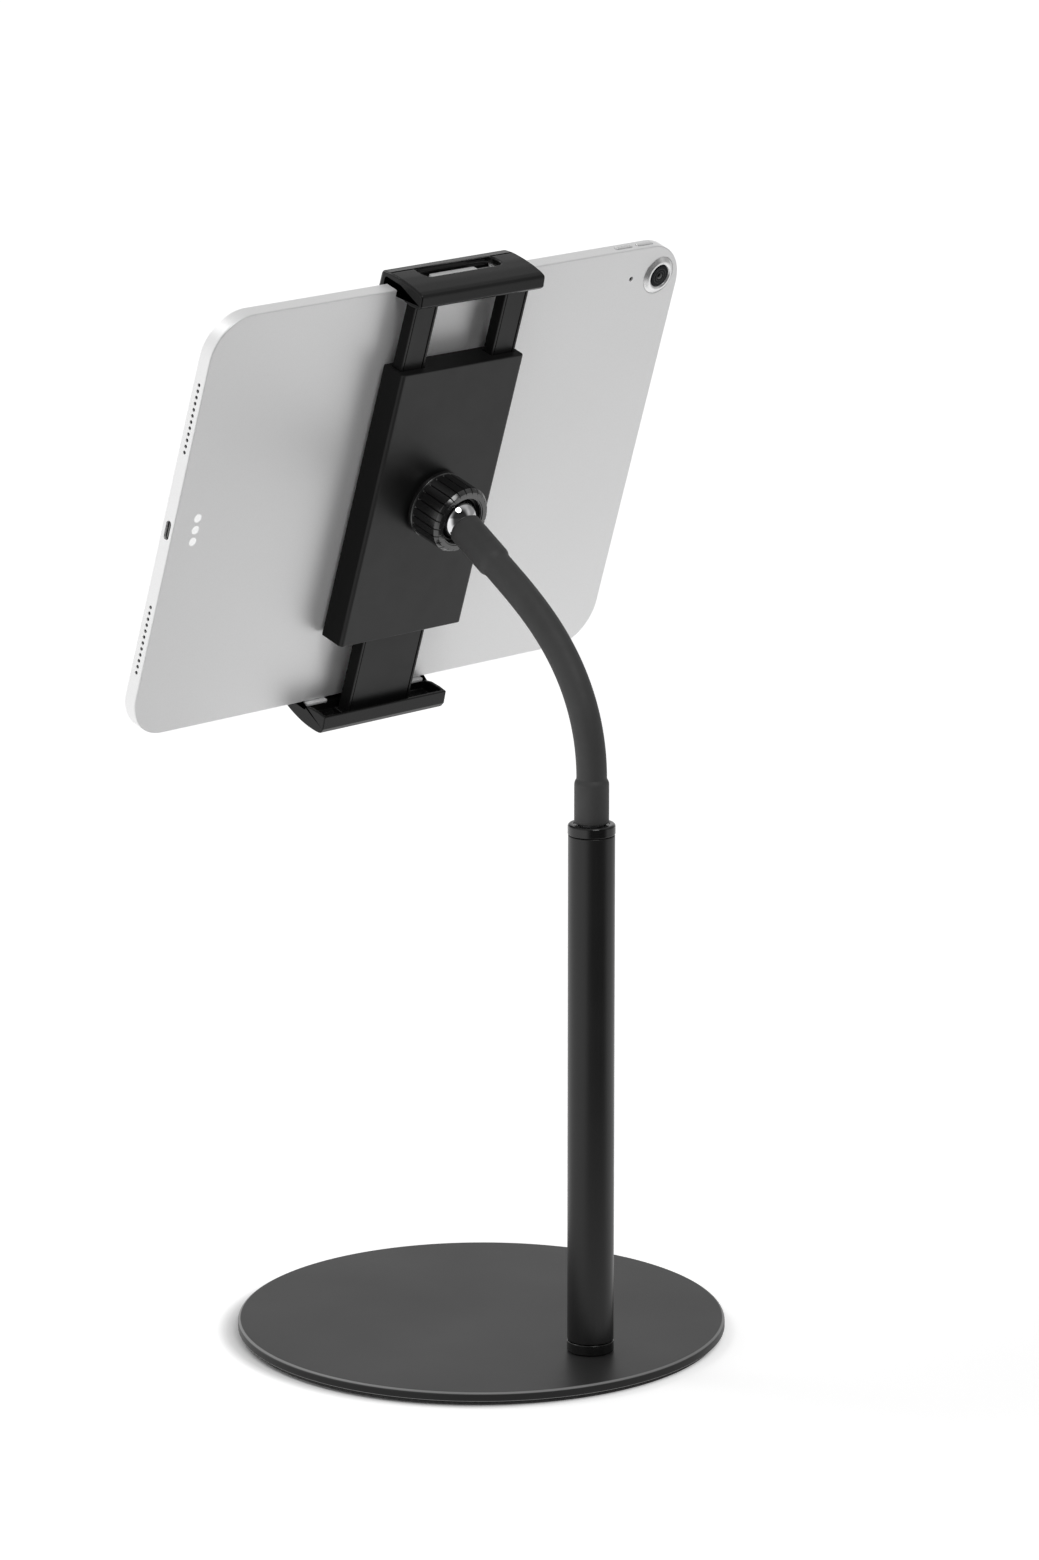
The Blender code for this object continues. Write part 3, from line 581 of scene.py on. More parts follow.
def aluminium(name, value, rough, depth, metal, glow=0.0):
    """Bead-blasted, silver-anodised aluminium."""
    m = Mat(name)
    blast = m.noise(scale=5200.0, rough=0.6)
    fleck = m.noise(scale=1900.0)
    cloud = m.noise(scale=9.0)
    m.set(color=m.mix(m.ramp(fleck, within=(0.35, 0.65)), grey(value * 0.985),
                      (value * 1.01, value * 1.01, value * 1.012)),
          metal=metal,
          rough=m.plus(m.ramp(cloud, to=rough), m.ramp(blast, to=(-0.03, 0.03))),
          normal=m.bump(blast, depth=depth, strength=0.5))
    # a glow given here is a painted glint, not a lamp
    if glow:
        m.set(glow_color=grey(1.0), glow=glow)
    return m.material


def chrome():
    """Polished chrome with a light haze and hairline scratches."""
    m = Mat("ball_polished_chrome")
    haze = m.noise(scale=260.0, detail=3.0, rough=0.6)
    scratch = m.noise(scale=2600.0, stretch=(1.0, 0.08, 1.0))
    return m.set(color=(0.82, 0.82, 0.83), metal=1.0,
                 rough=m.plus(m.ramp(haze, within=(0.4, 0.8), to=(0.035, 0.08)),
                              m.ramp(scratch, within=(0.6, 0.8), to=(0.0, 0.06))),
                 normal=m.bump(scratch, depth=0.0000015, strength=0.3))


def zinc():
    """Blotchy zinc plating."""
    m = Mat("zinc_plated_steel")
    blotch = m.noise(scale=420.0, detail=4.0, rough=0.6)
    fine = m.noise(scale=5200.0)
    return m.set(color=m.mix(m.ramp(blotch), (0.52, 0.53, 0.55), (0.66, 0.66, 0.67)), metal=1.0,
                 rough=m.ramp(blotch, to=(0.26, 0.4)),
                 normal=m.bump(fine, depth=0.000006, strength=0.5))


def silicone():
    """Frosted, milky silicone."""
    m = Mat("clear_frosted_silicone")
    fine = m.noise(scale=2400.0, detail=3.0, rough=0.6)
    return m.set(color=(0.95, 0.955, 0.955), rough=m.ramp(fine, to=(0.3, 0.42)), trans=0.06,
                 ior=1.42, sss=0.4, sss_radius=grey(0.0015), sss_scale=1.0,
                 normal=m.bump(fine, depth=0.00001, strength=0.4))


def smears(m):
    """Finger smears on glass."""
    return m.noise(scale=26.0, detail=4.0, rough=0.6, distortion=0.8)


def screen():
    """Black front glass around the display."""
    m = Mat("front_black_glass")
    return m.set(color=(0.003, 0.003, 0.0035), spec=0.4,
                 rough=m.ramp(smears(m), within=(0.45, 0.8), to=(0.025, 0.09)))


def screen_area():
    """The switched-off display, a shade paler than its border."""
    m = Mat("display_area_dark")
    smear = smears(m)
    return m.set(color=m.mix(m.ramp(smear, within=(0.3, 0.8)), (0.012, 0.012, 0.014),
                             (0.015, 0.015, 0.017)),
                 rough=m.ramp(smear, within=(0.45, 0.8), to=(0.03, 0.09)), spec=0.4)


def lens_glass():
    """Near-black camera glass."""
    m = Mat("camera_lens_glass")
    return m.set(color=(0.003, 0.004, 0.007), spec=0.12,
                 rough=m.ramp(m.noise(scale=300.0), to=(0.02, 0.05)))


def mottled(name, dark, light, rough, metal=0.0):
    """A plain finish with a fine mottle."""
    m = Mat(name)
    mottle = m.noise(scale=900.0, detail=3.0, rough=0.6)
    return m.set(color=m.mix(m.ramp(mottle), dark, light),
                 rough=m.ramp(mottle, to=(rough - 0.05, rough + 0.05)), metal=metal,
                 normal=m.bump(mottle, depth=0.00001, strength=0.5))


POWDER = powder_coat()
TUBE = tube_coat()
RUBBER = rubber()
FOAM = foam()
# walls=0.08 on the holder and the rails gives a painted shade on their side walls
HOLDER = moulded("holder_textured_plastic", shades=(0.010, 0.013), rough=(0.34, 0.42),
                 grain=4200.0, depth=0.000006, spec=0.38, walls=0.08)
RAIL = moulded("slider_textured_plastic", shades=(0.010, 0.013), rough=(0.32, 0.40),
               grain=4200.0, depth=0.000006, spec=0.32, walls=0.08)
JAW_PLASTIC = moulded("jaw_satin_plastic", shades=(0.006, 0.008), rough=(0.20, 0.26),
                      grain=900.0, depth=0.000001, spec=0.28, relief=0.05)
CAP_PLASTIC = moulded("column_cap_gloss_plastic", shades=(0.009, 0.011), rough=(0.14, 0.22),
                      grain=5200.0, depth=0.000002)
NUT_PLASTIC = moulded("collar_nut_plastic", shades=(0.009, 0.012), rough=(0.17, 0.24),
                      grain=5200.0, depth=0.000001, spec=0.9, relief=0.08, coat=0.5)
ACETAL = moulded("socket_black_acetal", shades=(0.012, 0.015), rough=(0.3, 0.4),
                 grain=3200.0, depth=0.000004)
NYLON = moulded("pinion_natural_nylon", shades=(0.62, 0.7), rough=(0.4, 0.5),
                grain=2600.0, depth=0.000008, tint=(1.0, 0.985, 0.94))
ALUMINIUM = aluminium("tablet_blasted_aluminium", value=0.97, rough=(0.40, 0.46),
                      depth=0.000007, metal=0.42)
MACHINED = aluminium("camera_ring_machined", value=0.97, rough=(0.26, 0.32), depth=0.000002,
                     metal=0.8)
# painted glint: plain white contacts that glow, standing in for the shine of polished metal
CONTACT = aluminium("contact_painted_glint", value=0.99, rough=(0.3, 0.36), depth=0.000001,
                    metal=0.0, glow=0.4)
CHROME = chrome()
ZINC = zinc()
SILICONE = silicone()
SCREEN = screen()
SCREEN_AREA = screen_area()
LENS = lens_glass()
LENS_ELEMENT = moulded("camera_front_element_glass", shades=(0.003, 0.004), rough=(0.05, 0.08),
                       grain=5200.0, depth=0.0000005, spec=0.9, relief=0.02,
                       tint=(0.9, 0.95, 1.1))
PANEL = mottled("display_panel_dark", grey(0.02), grey(0.03), rough=0.3)
CELL = mottled("battery_wrap", (0.10, 0.10, 0.11), (0.15, 0.15, 0.16), rough=0.5)
BOARD = mottled("circuit_board_green", (0.015, 0.07, 0.04), (0.03, 0.12, 0.06), rough=0.45)
# painted shade: a near-black fill set inside openings where only shade is
SHADE_FILL = mottled("recess_painted_shade", grey(0.004), grey(0.007), rough=0.8)
LENS_RIM = mottled("lens_rim_black_metal", grey(0.02), grey(0.03), rough=0.25, metal=0.3)
PORT = mottled("port_tongue_grey", grey(0.12), grey(0.16), rough=0.45)

# =====================================================================
# Base and column; rows are (radius, height, corner radius)
# =====================================================================
PLATE = [(0, 2.0, 0), (95.9, 2.0, 0), (96.0, 2.15, 0.6), (96.0, 5.5, 1.35), (0, 5.5, 0)]
PAD = [(0, 0, 0), (94.1, 0, 0.35), (94.3, 0.85, 0.5), (94.1, 1.7, 0.35), (0, 1.7, 0)]
SCREW = [(0, 17, 0), (2.5, 17, 0.2), (2.9, 16.4, 0.1), (2.9, 5.2, 0.1), (5.9, 2.35, 0.1),
         (5.9, 2.2, 0.05), (0, 2.2, 0)]
COLUMN_FOOT = [(0, 27, 0), (7.2, 27, 0.4), (7.2, 9.9, 0), (9.15, 9.9, 0.3), (9.15, 5.8, 0.35),
               (3.2, 5.8, 0.2), (3.2, 20, 0.1), (0, 20, 0)]
COLUMN_WALL = [(7.5, 212.4, 0.15), (9.03, 212.4, 0.3), (9.03, 10.2, 0.3), (7.5, 10.2, 0.15)]
COLUMN_CAP = [(0, 200, 0), (5.4, 200, 0.1), (5.4, 216.3, 0.3), (6.9, 216.3, 0.15),
              (7.15, 216.8, 0.25), (9.2, 216.8, 1.15), (9.2, 212.7, 0.35), (7.2, 212.7, 0.1),
              (7.2, 196, 0.4), (0, 196, 0)]
# the screw hole and its countersink, (radius, height)
SCREW_SINK = [(0, 6.0), (3.4, 6.0), (3.4, 5.0), (6.4, 2.0), (6.7, 1.7), (0, 1.7)]

plate = lathe("foot_plate", PLATE, Matrix.Identity(4), 256, step=9)
cut(plate, turned("sink", SCREW_SINK, COLUMN, 48))
dress(plate, "stand", POWDER, ["base_plate"], sharp=32)

pad = lathe("foot_pad", PAD, Matrix.Identity(4), 192, step=14)
cut(pad, cylinder("hole", (0, 0), 8.0, (-1, 3), COLUMN, 48))
dress(pad, "stand", FOAM, ["base_pad"])

screw = lathe("foot_screw", SCREW, COLUMN, 48)
# the cross recess
BLADE_LONG, BLADE_THIN, BLADE_Z = (-3.4, 3.4), (-0.55, 0.55), (1.6, 3.9)
cut(screw, block("cross_x", BLADE_LONG, BLADE_THIN, BLADE_Z, 0.1, COLUMN),
    block("cross_y", BLADE_THIN, BLADE_LONG, BLADE_Z, 0.1, COLUMN))
dress(screw, "stand", ZINC, ["base_screw"])

foot = lathe("column_foot_ring", COLUMN_FOOT, COLUMN)
dress(foot, "stand", CAP_PLASTIC, ["column_foot"])
tube = lathe("column_tube_outer", COLUMN_WALL, COLUMN, 128, closed=True)
dress(tube, "stand", TUBE, ["column_tube"], sharp=40)
cap = lathe("column_cap_ring", COLUMN_CAP, COLUMN, 128, step=10)
dress(cap, "stand", CAP_PLASTIC, ["column_cap"])

# =====================================================================
# Gooseneck: a smooth centre line through the hinges
# =====================================================================
NECK_START = Vector((0.0, HINGE[0].y, HINGE[0].z - LINK / 2))    # the flexible part
NECK_END = HINGE[-1] + END_DIR * (LINK / 2)
NECK_POINTS = [NECK_START] + [(a + b) / 2 for a, b in zip(HINGE, HINGE[1:])] + [NECK_END]
NECK_WAYS = [Vector((0, 0, 1))] + [(b - a).normalized() for a, b in zip(HINGE, HINGE[1:])]
NECK_WAYS.append(END_DIR)


def on_neck(k, t):
    """Point and direction on stretch k (0..8) of the centre line, t from 0 to 1."""
    p0, p1 = NECK_POINTS[k], NECK_POINTS[k + 1]
    m0, m1 = NECK_WAYS[k] * LINK, NECK_WAYS[k + 1] * LINK
    h00, h10 = 2 * t ** 3 - 3 * t ** 2 + 1, t ** 3 - 2 * t ** 2 + t
    h01, h11 = -2 * t ** 3 + 3 * t ** 2, t ** 3 - t ** 2
    point = p0 * h00 + m0 * h10 + p1 * h01 + m1 * h11
    way = (p0 * (6 * t * t - 6 * t) + m0 * (3 * t * t - 4 * t + 1)
           + p1 * (6 * t - 6 * t * t) + m1 * (3 * t * t - 2 * t))
    return point, way.normalized()


def above_column(z):
    """Point and direction on the upright start, at a height in millimetres."""
    return Vector((0, HINGE[0].y, z * MM)), Vector((0, 0, 1))


def before_ball(distance):
    """Point and direction on the straight end, at millimetres from the ball centre."""
    return BALL - END_DIR * (distance * MM), END_DIR


def tube_piece(name, path, sides):
    """A closed tube wall from (point, direction, outer radius, inner radius) stations."""
    verts, faces, normals = [], [], []
    count = len(path)
    inside = count * sides                  # index of the first inner vertex
    slopes = [(after[2] - before[2]) * MM / (after[0] - before[0]).length
              for before, after in zip(path, path[2:])]
    slopes = [0.0] + slopes + [0.0]
    for wall in (2, 3):
        for station, slope in zip(path, slopes):
            point, way = station[:2]
            up = way.cross(ACROSS).normalized()
            radius = station[wall] * MM
            for j in range(sides):
                a = 2 * math.pi * j / sides
                verts.append(point + ACROSS * (radius * math.cos(a))
                             + up * (radius * math.sin(a)))
                normal = ACROSS * math.cos(a) + up * math.sin(a) - way * slope
                normals.append(normal.normalized())
    for a in range(0, inside - sides, sides):
        b = a + sides
        for outer, inner in zip(band(a, b, sides), band(a + inside, b + inside, sides)):
            faces += [outer, (inner[1], inner[0], inner[3], inner[2])]
    faces += [face[::-1] for face in band(0, inside, sides)]
    faces += band(inside - sides, 2 * inside - sides, sides)
    mesh = bpy.data.meshes.new(name)
    mesh.from_pydata([tuple(v) for v in verts], [], faces)
    mesh.update()
    ob = add_object(name, mesh)
    # make sure that the faces point outward
    bm = bmesh.new()
    bm.from_mesh(mesh)
    if bm.calc_volume(signed=True) < 0:
        bmesh.ops.reverse_faces(bm, faces=bm.faces)
    bm.to_mesh(mesh)
    bm.free()
    # exact normals along the outer wall, so that neighbouring pieces join without a line
    mesh.shade_smooth()
    loops = []
    for poly in mesh.polygons:
        outer = all(v < inside for v in poly.vertices)
        loops += [normals[v] if outer else poly.normal.copy() for v in poly.vertices]
    mesh.normals_split_custom_set(loops)
    return ob


def hold(ob, k):
    """Bakes a piece's placement into its mesh.

    The neck bodies at its two ends are worked out, the other way round for piece 3, but they are
    not used and nothing is bent."""
    a, b = (CHAIN[k], on_neck(k, 0.07)[0]), (CHAIN[k + 1], on_neck(k, 0.93)[0])
    if k == 2:
        a, b = b, a
    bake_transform(ob)


SLEEVE, COLLAR = 5.875, 6.7            # outer radii of the sleeve and of its two collars
COLLAR_BORE, SLEEVE_BORE = 5.4, 3.6
LOWER_COLLAR = [220, 223, 226, 229, 231.2]                       # heights
# (height, share of the step from sleeve to collar)
LOWER_TAPER = [(232.0, 0.995), (232.5, 0.97), (232.9, 0.90), (233.3, 0.76), (233.7, 0.52),
               (234.0, 0.30), (234.3, 0.12)]
LOWER_BORE_END = 232.8
# (distance from the ball, share of the step)
UPPER_TAPER = [(27.9, 0.1), (27.5, 0.28), (27.1, 0.5), (26.7, 0.72), (26.3, 0.88),
               (25.8, 0.97), (25.2, 1.0)]
UPPER_BORE_END = 25.3
UPPER_COLLAR = [21.0, 17.0, 13.0, 10.0, 8.0, 7.0]                # distances from the ball
# (height or distance, outer radius, inner radius) of the collars' outer ends
LOWER_LIP = [(217.1, 6.35, COLLAR_BORE), (217.25, 6.55, COLLAR_BORE),
             (217.6, COLLAR, COLLAR_BORE)]
UPPER_LIP = [(6.75, 6.62, 5.45), (6.6, 6.42, 5.6), (6.55, 6.2, 5.8)]


def tapered(share):
    return SLEEVE + (COLLAR - SLEEVE) * share


def sleeve_path(k):
    """Stations of one sleeve piece; the first and last carry the collars."""
    lower, upper = [], []
    if k == 0:
        lower += LOWER_LIP + [(z, COLLAR, COLLAR_BORE) for z in LOWER_COLLAR]
        lower += [(z, tapered(share), COLLAR_BORE if z < LOWER_BORE_END else SLEEVE_BORE)
                  for z, share in LOWER_TAPER]
    if k == NECK_PIECES - 1:
        upper += [(d, tapered(share), SLEEVE_BORE if d > UPPER_BORE_END else COLLAR_BORE)
                  for d, share in UPPER_TAPER]
        upper += [(d, COLLAR, COLLAR_BORE) for d in UPPER_COLLAR] + UPPER_LIP
    return ([(*above_column(z), outer, inner) for z, outer, inner in lower]
            + [(*on_neck(k, i / 10), SLEEVE, SLEEVE_BORE) for i in range(11)]
            + [(*before_ball(d), outer, inner) for d, outer, inner in upper])


for k in range(NECK_PIECES):
    sleeve = tube_piece(f"rubber_sleeve_{k + 1}", sleeve_path(k), 56)
    sleeve.data.materials.append(RUBBER)
    hold(sleeve, k)
    end_nodes = {0: ["sleeve_lower", "sleeve_segment_1"], NECK_PIECES - 1: ["sleeve_upper"]}
    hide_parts(*end_nodes.get(k, [f"sleeve_segment_{k + 1}"]))

# wound steel core inside the sleeve
CORE_RADII = (2.4, 0.8)                # outer, inner
for k in range(NECK_PIECES):
    places = [on_neck(k, i / 12) for i in range(13)]
    if k == 0:
        places = [above_column(z) for z in np.linspace(206.0, 234.0, 24)] + places
    if k == NECK_PIECES - 1:
        places += [before_ball(d) for d in np.linspace(27.4, 18.0, 8)]
    core = tube_piece(f"wound_core_{k + 1}", [(*place, *CORE_RADII) for place in places], 20)
    core.data.materials.append(ZINC)
    hold(core, k)
    if k == 0:
        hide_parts("gooseneck_core")

# =====================================================================
# Ball joint; profiles are (radius, z)
# =====================================================================
BALL_R, STUD_NECK_R = 8.5, 3.8
CLAMP_RING = [(8.62, 2.3), (10.1, 2.3), (10.1, 0.2), (9.85, -2.0), (8.66, -2.0), (8.76, -0.9),
              (8.8, 0.0), (8.74, 1.2)]
neck_angle = math.degrees(math.asin(STUD_NECK_R / BALL_R))
stud = turned("chrome_ball_stud", [(0, 17.0), (3.5, 17.0), (STUD_NECK_R, 16.7)]
              + arc(BALL_R, neck_angle, 180, 40), STUD)
dress(stud, "neck_head", CHROME, ["ball_stud"], sharp=30, weighted=False)
ring = turned("socket_clamp_ring", CLAMP_RING, SOCKET, closed=True)
dress(ring, "socket_ring", ACETAL, ["clamp_ring"])

# (radius, z, corner radius); -z is the end at the holder
NUT_PROFILE = [(12.0, 3.7, 0.1), (12.0, -12.0, 0.05), (12.9, -12.0, 0.35), (13.8, -11.4, 0.45),
               (13.8, -9.9, 0.25), (13.45, -9.6, 0.08), (13.45, -9.3, 0.05), (13.6, -9.1, 0.08),
               (13.6, 3.3, 0.35), (12.45, 4.8, 0.3), (10.3, 4.8, 0.08), (10.15, 4.5, 0.08),
               (9.75, 4.5, 0.12), (9.45, 4.1, 0.15), (9.45, 3.7, 0.05)]
GROOVES, STEPS_PER_GROOVE = 24, 26
GROOVE_DEPTH = 0.7
GROOVE_HALF = 1.15                     # half width in degrees
GROOVE_END_Z, GROOVE_END_LENGTH = -8.9, 0.8        # the closed round end near the holder


def nut_stations():
    """The nut's profile with extra stations along the grip, where the grooves end."""
    profile = fillet(NUT_PROFILE, step=14)
    out = []
    for (r0, z0), (r1, z1) in zip(profile, profile[1:] + profile[:1]):
        out.append((r0, z0))
        if min(r0, r1) > 13.3 and abs(z1 - z0) > 2:
            out += [(r0 + (r1 - r0) * i / 40, z0 + (z1 - z0) * i / 40) for i in range(1, 40)]
    return out


def collar_nut():
    """A ring with lengthwise grooves that are open at the end away from the holder."""
    count = GROOVES * STEPS_PER_GROOVE
    cuts = []
    for i in range(count):
        off = ((i % STEPS_PER_GROOVE) / STEPS_PER_GROOVE - 0.5) * (360.0 / GROOVES)
        cuts.append(GROOVE_DEPTH * math.sqrt(max(0.0, 1 - (off / GROOVE_HALF) ** 2)))
    verts, faces = [], []
    stations = nut_stations()
    for radius, z in stations:
        along = 0.0
        if radius > 12.3 and z > -9.05:
            into = min(1.0, max(0.0, (z - GROOVE_END_Z) / GROOVE_END_LENGTH))
            along = math.sqrt(max(0.0, 1 - (1 - into) ** 2))
        for i, depth in enumerate(cuts):
            a = 2 * math.pi * (i / count)
            r = radius - depth * along
            verts.append((r * math.cos(a), r * math.sin(a), z))
    for k in range(len(stations)):
        faces += band(k * count, (k + 1) % len(stations) * count, count)
    return make("ribbed_collar_nut", verts, faces, SOCKET)


dress(collar_nut(), "nut", NUT_PLASTIC, ["collar_nut"], sharp=50, weighted=False)

# =====================================================================
# Holder
# =====================================================================
COVER_W, COVER_H, COVER_WALL = 64.6, 117.4, 1.8
COVER_Z = (1.4, 12.7)
CAVITY_Z = (0.4, 10.9)


def rear_cover():
    """A hollow box, open to the tablet, with notches for the two upper rails and the lower."""
    x, y = COVER_W / 2, COVER_H / 2
    cover = extrude("rear_cover_shell", [(-x, -y), (x, -y), (x, y), (-x, y)], *COVER_Z, TAB)
    bm = bmesh.new()
    bm.from_mesh(cover.data)
    to_tab = TAB.inverted()
    long_rear = []
    for edge in bm.edges:
        start, end = (to_tab @ vert.co for vert in edge.verts)
        if min(start.z, end.z) > (COVER_Z[1] - 0.1) * MM and abs(start.x - end.x) < 1e-5:
            long_rear.append(edge)
    bmesh.ops.bevel(bm, geom=long_rear, offset=1.7 * MM, offset_type="OFFSET", segments=7,
                    profile=0.5, affect="EDGES")
    bm.to_mesh(cover.data)
    bm.free()
    bevel(cover, width=0.45, segments=3, angle=50)
    cut(cover, slab("cavity", COVER_W - 2 * COVER_WALL, COVER_H - 2 * COVER_WALL, 0.6,
                    [(0, z) for z in CAVITY_Z], TAB, steps=6))
    notches = [block("notch", x, (54, 62), (3.75, 9.25), 0.25, TAB)
               for _, x in mirrored(17.5, 30.5)]
    notches.append(block("notch", (-16.75, 16.75), (-62, -54), (3.65, 9.65), 0.25, TAB))
    cut(cover, *notches)
    return cover


dress(rear_cover(), "holder", HOLDER, ["rear_cover"], sharp=32)

# (radius, z) about the ball: a cup whose hollow is a sphere
SOCKET_R = 10.5
BOSS = [(0, -13.2), (11.6, -13.2), (11.6, -0.2), (11.4, 0.4), (11.2, 0.5), (SOCKET_R, 0.5),
        (SOCKET_R, 0.0)] + arc(SOCKET_R, 96, 180, 14)[1:]
boss = turned("socket_boss", BOSS, SOCKET)
dress(boss, "holder", HOLDER)
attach(boss, "holder")

POST = [(0, 11.2), (2.3, 11.2), (2.3, 3.8), (1.1, 3.8), (1.1, 9.6), (0, 9.6)]    # (radius, z)
POST_PLACES = [(-8, 51.6), (8, 51.6), (-24, -45), (24, -45)]
for i, place in enumerate(POST_PLACES):
    post = turned(f"screw_post_{i + 1}", POST, on_back(*place), 24)
    dress(post, "holder", HOLDER)

for name, span in mirrored(17.0, 27.0):
    grip = block(f"grip_pad_{name}", span, (-50.0, 50.0), (0.35, 1.4), 0.3, TAB, corner=2.0)
    dress(grip, "holder", FOAM, [f"holder_pad_{name}"])

# closing springs: fixed coils of round wire
SPRING_TURNS, SPRING_R, WIRE_R = 9, 1.9, 0.3
SPRING_Y, SPRING_Z = (-41.8, -26.0), 6.4


def closing_spring(name, x):
    """A coil of round wire along y."""
    low, high = SPRING_Y
    count = SPRING_TURNS * 16
    points = [Vector((x + SPRING_R * math.cos(2 * math.pi * i / 16),
                      low + (high - low) * i / count,
                      SPRING_Z + SPRING_R * math.sin(2 * math.pi * i / 16)))
              for i in range(count + 1)]
    turn = [2 * math.pi * j / 8 for j in range(8)]
    rings = []
    for i, point in enumerate(points):
        way = (points[min(i + 1, count)] - points[max(i - 1, 0)]).normalized()
        u = Vector((point.x - x, 0, point.z - SPRING_Z)).normalized()
        v = way.cross(u).normalized()
        rings.append([tuple(point + (u * math.cos(a) + v * math.sin(a)) * WIRE_R)
                      for a in turn])
    spring = loft(f"closing_spring_{name}", rings, TAB)
    spring.data.shade_smooth()
    spring.data.materials.append(ZINC)
    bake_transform(spring)
    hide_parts(f"clamp_spring_{name}")


closing_spring("left", -24.0)
closing_spring("right", 24.0)

# =====================================================================
# Clamp arms
# =====================================================================
RIB, RIB_HEIGHT = 1.1, 0.15            # the rear rib along each side
GROOVE, GROOVE_BED = 0.4, 0.75         # the groove beside it: width, depth below the rib
SLOPE = 0.05                           # lean of the groove's walls
RAIL_EDGE = 0.28


def rail_section(x0, x1, front, back, wall, web):
    """A channel open to the screen side; behind, a fine rib and a groove along each side."""
    low, bed = -(back - RIB_HEIGHT), -(back - GROOVE_BED)
    return fillet([
        (x0, -front, 0.15), (x0 + wall, -front, 0.15), (x0 + wall, -web, 0.2),
        (x1 - wall, -web, 0.2), (x1 - wall, -front, 0.15), (x1, -front, 0.15),
        (x1, -back, RAIL_EDGE), (x1 - RIB, -back, 0.14), (x1 - RIB - SLOPE, bed, 0.04),
        (x1 - RIB - GROOVE, bed, 0.04), (x1 - RIB - GROOVE - SLOPE, low, 0.1),
        (x0 + RIB + GROOVE + SLOPE, low, 0.1), (x0 + RIB + GROOVE, bed, 0.04),
        (x0 + RIB + SLOPE, bed, 0.04), (x0 + RIB, -back, 0.14), (x0, -back, RAIL_EDGE),
    ], step=22)


RACK_LINE, RACK_BACK = 7.0, 12.0       # distances from the middle to the pitch line and the back
RACK_PITCH = math.pi
TOOTH_ROOT, TOOTH_TIP = 1.15, 0.8      # below and above the pitch line
TOOTH_HALF = (RACK_PITCH / 2 - 0.1) / 2
TOOTH_SLOPE = math.tan(math.radians(20))


def rack_outline(face, low, high, teeth_low, teeth_high):
    """A toothed bar along y; face is the x sign that the teeth point to."""
    line, back = -face * RACK_LINE, -face * RACK_BACK
    root, tip = line - face * TOOTH_ROOT, line + face * TOOTH_TIP
    foot, crest = TOOTH_ROOT * TOOTH_SLOPE, TOOTH_TIP * TOOTH_SLOPE
    half = TOOTH_HALF
    points = [(root, low)]
    k = math.ceil((teeth_low + half + foot) / RACK_PITCH - 0.5)
    while (k + 0.5) * RACK_PITCH + half + foot < teeth_high:
        y = (k + 0.5) * RACK_PITCH
        points += [(root, y - half - foot), (tip, y - half + crest),
                   (tip, y + half - crest), (root, y + half + foot)]
        k += 1
    return points + [(root, high), (back, high), (back, low)]


for name, span in mirrored(17.8, 30.2):
    section = rail_section(*span, front=4.1, back=8.9, wall=1.4, web=7.4)
    rail = extrude(f"upper_rail_{name}", section, -25.0, 87.5, ALONG)
    dress(rail, "upper_arm", RAIL, ["upper_slider"] if name == "left" else ())
bar = block("upper_cross_bar", (-18.6, 18.6), (23.8, 29.0), (4.3, 8.3), 0.3, TAB)
dress(bar, "upper_arm", RAIL)
rack = rack_outline(1, low=-23.5, high=24.5, teeth_low=-22.5, teeth_high=7.0)
dress(extrude("upper_rack_arm", rack, 4.4, 7.4, TAB), "upper_arm", RAIL)

section = rail_section(-16.4, 16.4, front=4.0, back=9.3, wall=1.6, web=8.0)
rail = extrude("lower_rail", section, -93.5, 22.3, ALONG)
dress(rail, "lower_arm", RAIL, ["lower_slider"])
rack = rack_outline(-1, low=-5.0, high=21.8, teeth_low=-4.5, teeth_high=21.5)
dress(extrude("lower_rack_arm", rack, 4.4, 8.4, TAB), "lower_arm", RAIL)

# =====================================================================
# Jaws; sections in the JAW frame, rows are (out of the back, up, corner radius)
# =====================================================================
JAW_HALF = 32.75
UPPER_JAW = [
    (-7.8, 84.8, 0.3), (-10.9, 84.9, 0.5), (-11.35, 86.2, 2.0), (-11.2, 90.4, 3.0),
    (-10.3, 93.0, 1.8), (-5.2, 94.0, 14.0), (0.5, 94.25, 30.0), (6.4, 94.05, 25.0),
    (11.2, 93.45, 5.0), (13.5, 92.7, 2.2), (13.95, 88.2, 0.8), (12.8, 86.95, 1.0),
    (9.0, 86.2, 6.0), (5.0, 86.5, 6.0), (1.6, 87.5, 0.3), (1.6, 91.1, 0.5),
    (-6.9, 91.1, 0.5), (-6.9, 85.5, 0.4)]
UPPER_CHEEK = [(-6.95, 91.4, 0), (-6.95, 89.45, 0.1), (0.28, 89.45, 0.1), (0.28, 88.5, 0.5),
               (1.7, 87.55, 0.5), (3.0, 87.1, 0), (3.0, 91.4, 0)]
CHEEK_THICK = 0.8
LOWER_JAW = [
    (-7.6, -84.9, 0.3), (-10.9, -85.0, 0.5), (-11.4, -86.2, 2.0), (-11.4, -91.3, 3.0),
    (-10.4, -93.5, 3.0), (-7.0, -94.95, 20.0), (-3.3, -95.9, 30.0), (1.3, -96.85, 30.0),
    (6.15, -97.2, 30.0), (10.9, -96.95, 6.0), (12.7, -96.5, 1.0), (13.8, -94.4, 0.6),
    (13.45, -89.2, 0.5), (9.65, -89.0, 3.0), (4.9, -89.3, 3.0), (1.9, -90.2, 0.2),
    (1.9, -91.1, 0.3), (-6.9, -91.1, 0.4), (-6.9, -85.6, 0.4)]


